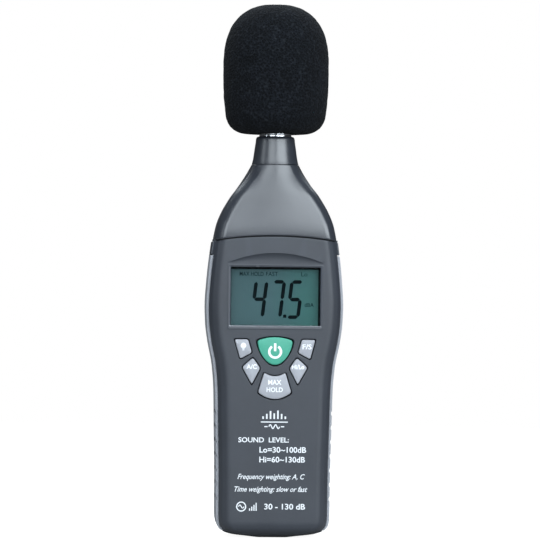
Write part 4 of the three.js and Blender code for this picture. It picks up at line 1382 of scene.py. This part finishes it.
def build_pad():
    surface = Surface()
    bottom, top = 16.4, 17.55
    half_x, half_z, middle_z = 10, 18, 40

    def loop(inset):
        x, z = half_x - inset, half_z - inset
        return rounded_box(-x, x, middle_z - z, middle_z + z, 1.2, 5)

    sections = [(0.5, bottom), (0.15, bottom + 0.15), (0, bottom + 0.5), (0.1, top - 0.25), (0.4, top)]
    surface.stack([(loop(inset), y) for inset, y in sections])
    inner = [(x, z) for x in spread(-9, 9, 22) for z in spread(23, 57, 42)]
    for inset, level, swell in [(0.5, bottom, 0.0), (0.4, top, 0.12)]:
        def place(x, z):
            lump = noise.noise(Vector((x, level, z)) * 1.3) * 0.05
            edge = min(1.0, (half_x - abs(x)) / 2) * min(1.0, (half_z - abs(z - middle_z)) / 2)
            return (x, level - swell * (1 - edge) + lump * max(0.0, edge), z)

        surface.fill(loop(inset), [], place, inner)
    piece = make("battery_foam_pad", surface, "foam", ["battery_pad"], "battery_door", sharp=180,
                 weighted=False)


def build_screw(name, at, under, head_top, head, shank, tip, stands_for, body="housing"):
    """A pan head screw along Y with a cross recess and a threaded shank."""
    surface = Surface()
    x, z = at
    rim_y = head_top - 0.32 * (head_top - under)
    rows = [(shank, under), (head * 0.94, under), (head, under + 0.12), (head, rim_y)]
    for t in (0.35, 0.65, 0.85):
        rows.append((head * lerp(1, 0.84, t * t), lerp(rim_y, head_top, sin(t * pi / 2) ** 0.8)))
    surface.turned_y(rows + [(head * 0.8, head_top)], 40, at)
    arm, slot, floor_y = head * 0.58, 0.3, head_top - 0.75
    quadrant = [(slot, arm), (slot, slot), (arm, slot)]
    cross = quadrant + [(a, -b) for a, b in reversed(quadrant)]
    cross += [(-a, -b) for a, b in quadrant] + [(-a, b) for a, b in reversed(quadrant)]
    loop = [(x + a, z + b) for a, b in cross]
    small = [(x + a * 0.7, z + b * 0.7) for a, b in cross]
    surface.fill(circle(at, head * 0.8, 40), [loop], lambda a, b: (a, head_top, b))
    surface.stack([(loop, head_top), (small, floor_y)])
    surface.cap(lift(small, floor_y))
    pitch = 0.55
    steps = int((under - tip - 1) / pitch)
    thread = [(shank * 0.8, under)]
    for y in (under - i * pitch for i in range(steps)):
        thread += [(shank * 0.8, y - 0.02), (shank, y - pitch * 0.45), (shank, y - pitch * 0.55)]
    thread += [(shank * 0.8, under - steps * pitch), (shank * 0.6, tip + 0.4), (0.05, tip)]
    surface.turned_y(thread, 20, at)
    make(name, surface, "screw_steel", [stands_for], body)


build_cover()
build_pad()
build_screw("door_screw", COVER_SCREW, 19.3, 20.3, 2.0, 1.0, 12, "battery_cover_screw", "battery_door")
for i, at in enumerate(CASE_SCREWS, 1):
    build_screw(f"housing_screw_{i}", at, 13.6, 15.6, 2.4, 1.3, -6, f"case_screw_{i}")

# ------------ tripod socket and trimmer


def build_tripod():
    surface = Surface()
    bore, outer, face = TRIPOD["bore"], TRIPOD["radius"], BACK_Y - 0.1
    floor_y = BACK_Y - TRIPOD["depth"]
    profile = [(0.05, floor_y), (outer, floor_y), (outer, face - 0.3), (outer - 0.3, face)]
    profile += [(bore + 0.5, face), (bore + 0.1, face - 0.4)]
    pitch = 1.27
    y = face - 0.5
    while y > floor_y + 2.4:
        profile += [(bore - 0.02, y), (bore + 0.42, y - pitch * 0.5), (bore - 0.02, y - pitch * 0.94)]
        y -= pitch
    profile += [(bore, floor_y + 1), (0.05, floor_y + 1)]
    surface.turned_y(profile, 48, (0, TRIPOD["z"]))
    make("tripod_bush", surface, "brass", ["tripod_insert"])


def build_trimmer():
    surface = Surface()
    x, z = TRIMMER
    top, radius = 17.8, 1.5
    rim = radius - 0.12
    profile = [(0.05, 1.5), (2, 1.5), (2, 2.4), (radius, 2.6), (radius, top - 0.15), (rim, top)]
    surface.turned_y(profile, 36, TRIMMER)
    slot = [(x + a, z + b) for a, b in ((-1.05, -0.3), (1.05, -0.3), (1.05, 0.3), (-1.05, 0.3))]
    surface.fill(circle(TRIMMER, rim, 36), [slot], lambda a, b: (a, top, b))
    # The slot's walls and floor take the near-black finish: painted shade inside the slot.
    surface.stack([(slot, top), (slot, top - 0.8)], mark=1)
    surface.cap(lift(slot, top - 0.8), mark=1)
    make("trimmer_screw", surface, "white_plastic", ["trimmer_rotor"], "trimmer",
         ["white_plastic", "painted_shade_plastic"])


build_tripod()
build_trimmer()

# ------------ floor, light and camera

LAMP_COLOUR = (0.86, 0.94, 1.0)
LAMPS = [
    # name, azimuth, elevation, distance, (width, height), power
    ("right", 33, 21, 1.0, (1.0, 0.66), 11.2),
    ("left", -22, 21, 1.0, (0.6, 0.66), 4.8),
    ("strip", -70, 20, 1.0, (0.12, 0.5), 1.0),
    ("top", 0, 70, 0.95, (0.6, 0.5), 4.4),
    ("rear_left", 205, 48, 1.1, (0.6, 0.6), 5.0),
    ("rear_right", 155, 45, 1.1, (0.6, 0.6), 4.0),
]
FLOOR = {"radius": 1.6, "z": -0.0002, "fade": (0.12, 0.9)}
CAMERA = {"azimuth": -3.2, "distance": 1.2, "lens": 202.5, "target": (-1.57, 105.1), "lean": 0.6}


def build_floor():
    """A pale disc that glows for the camera alone and fades out into the white behind it."""
    mesh = bpy.data.meshes.new("floor")
    bm = bmesh.new()
    bmesh.ops.create_circle(bm, cap_ends=True, radius=FLOOR["radius"], segments=96)
    bm.to_mesh(mesh)
    bm.free()
    floor = put("floor", mesh)
    floor.location.z = FLOOR["z"]
    look = Look("floor")
    tone = look.ramp(look.noise(6, 3), [(0.3, (0.34, 0.335, 0.33, 1)), (0.7, (0.37, 0.365, 0.36, 1))])
    look.set(base_color=tone, roughness=0.8, specular_ior_level=0.1)
    plain = look.shader.outputs["BSDF"]
    glow = look.node("Emission", {"Strength": 0.94})
    camera_ray = look.node("LightPath", {}, "Is Camera Ray")
    glowing = look.node("AddShader", {0: plain, 1: glow})
    pale = look.node("MixShader", {"Fac": camera_ray, 1: plain, 2: glowing})
    distance = look.node("VectorMath", {0: look.place}, "Value", operation="LENGTH")
    clear = look.node("BsdfTransparent", {})
    fade = look.span(distance, 0.0, 1.0, *FLOOR["fade"])
    look.surface(look.node("MixShader", {"Fac": fade, 1: pale, 2: clear}))
    mesh.materials.append(look.material)


def build_world():
    """White behind the object, and a dim grey surround for light and reflections."""
    world = bpy.data.worlds.new("studio")
    bpy.context.scene.world = world
    world.use_nodes = True
    tree = world.node_tree
    seen = tree.nodes["Background"]
    feed(tree, seen, {"Color": (1, 1, 1, 1)})
    lit = add_node(tree, "Background", {"Color": (0.92, 0.96, 1.0, 1), "Strength": 0.06})
    camera_ray = add_node(tree, "LightPath", {}, "Is Camera Ray")
    both = add_node(tree, "MixShader", {"Fac": camera_ray, 1: lit, 2: seen.outputs["Background"]})
    tree.links.new(both, tree.nodes["World Output"].inputs["Surface"])


def aim(holder, target, way, distance):
    """Puts a lamp or camera at distance along way from target, looking back at it."""
    holder.location = target + way * distance
    holder.rotation_mode = "QUATERNION"
    holder.rotation_quaternion = way.to_track_quat("Z", "Y")


def softbox(name, azimuth, elevation, distance, size, power):
    """A lamp looking at the object's middle; azimuth 0 is in front of it and 90 on its right."""
    lamp = bpy.data.lights.new(name, "AREA")
    lamp.shape = "RECTANGLE"
    lamp.size, lamp.size_y = size
    lamp.energy = power
    lamp.color = LAMP_COLOUR
    holder = put(name, lamp)
    a, e = radians(azimuth), radians(elevation)
    way = Vector((sin(a) * cos(e), -cos(a) * cos(e), sin(e)))
    aim(holder, Vector((0, 0, FOAM["top"] / 2 * MM)), way, distance)
    holder.visible_camera = False


def build_camera():
    camera = put("camera", bpy.data.cameras.new("camera"))
    a = radians(CAMERA["azimuth"])
    across, up = CAMERA["target"]
    target = Vector((cos(a), sin(a), 0)) * across * MM + Vector((0, 0, up * MM))
    aim(camera, target, Vector((sin(a), -cos(a), 0)), CAMERA["distance"])
    camera.rotation_quaternion @= Quaternion((0, 0, 1), radians(CAMERA["lean"]))
    camera.data.lens = CAMERA["lens"]
    camera.data.sensor_width = 36
    camera.data.clip_start = 0.05
    bpy.context.scene.camera = camera


build_floor()
build_world()
for lamp in LAMPS:
    softbox(*lamp)
build_camera()
bpy.context.scene.view_settings.view_transform = "Standard"
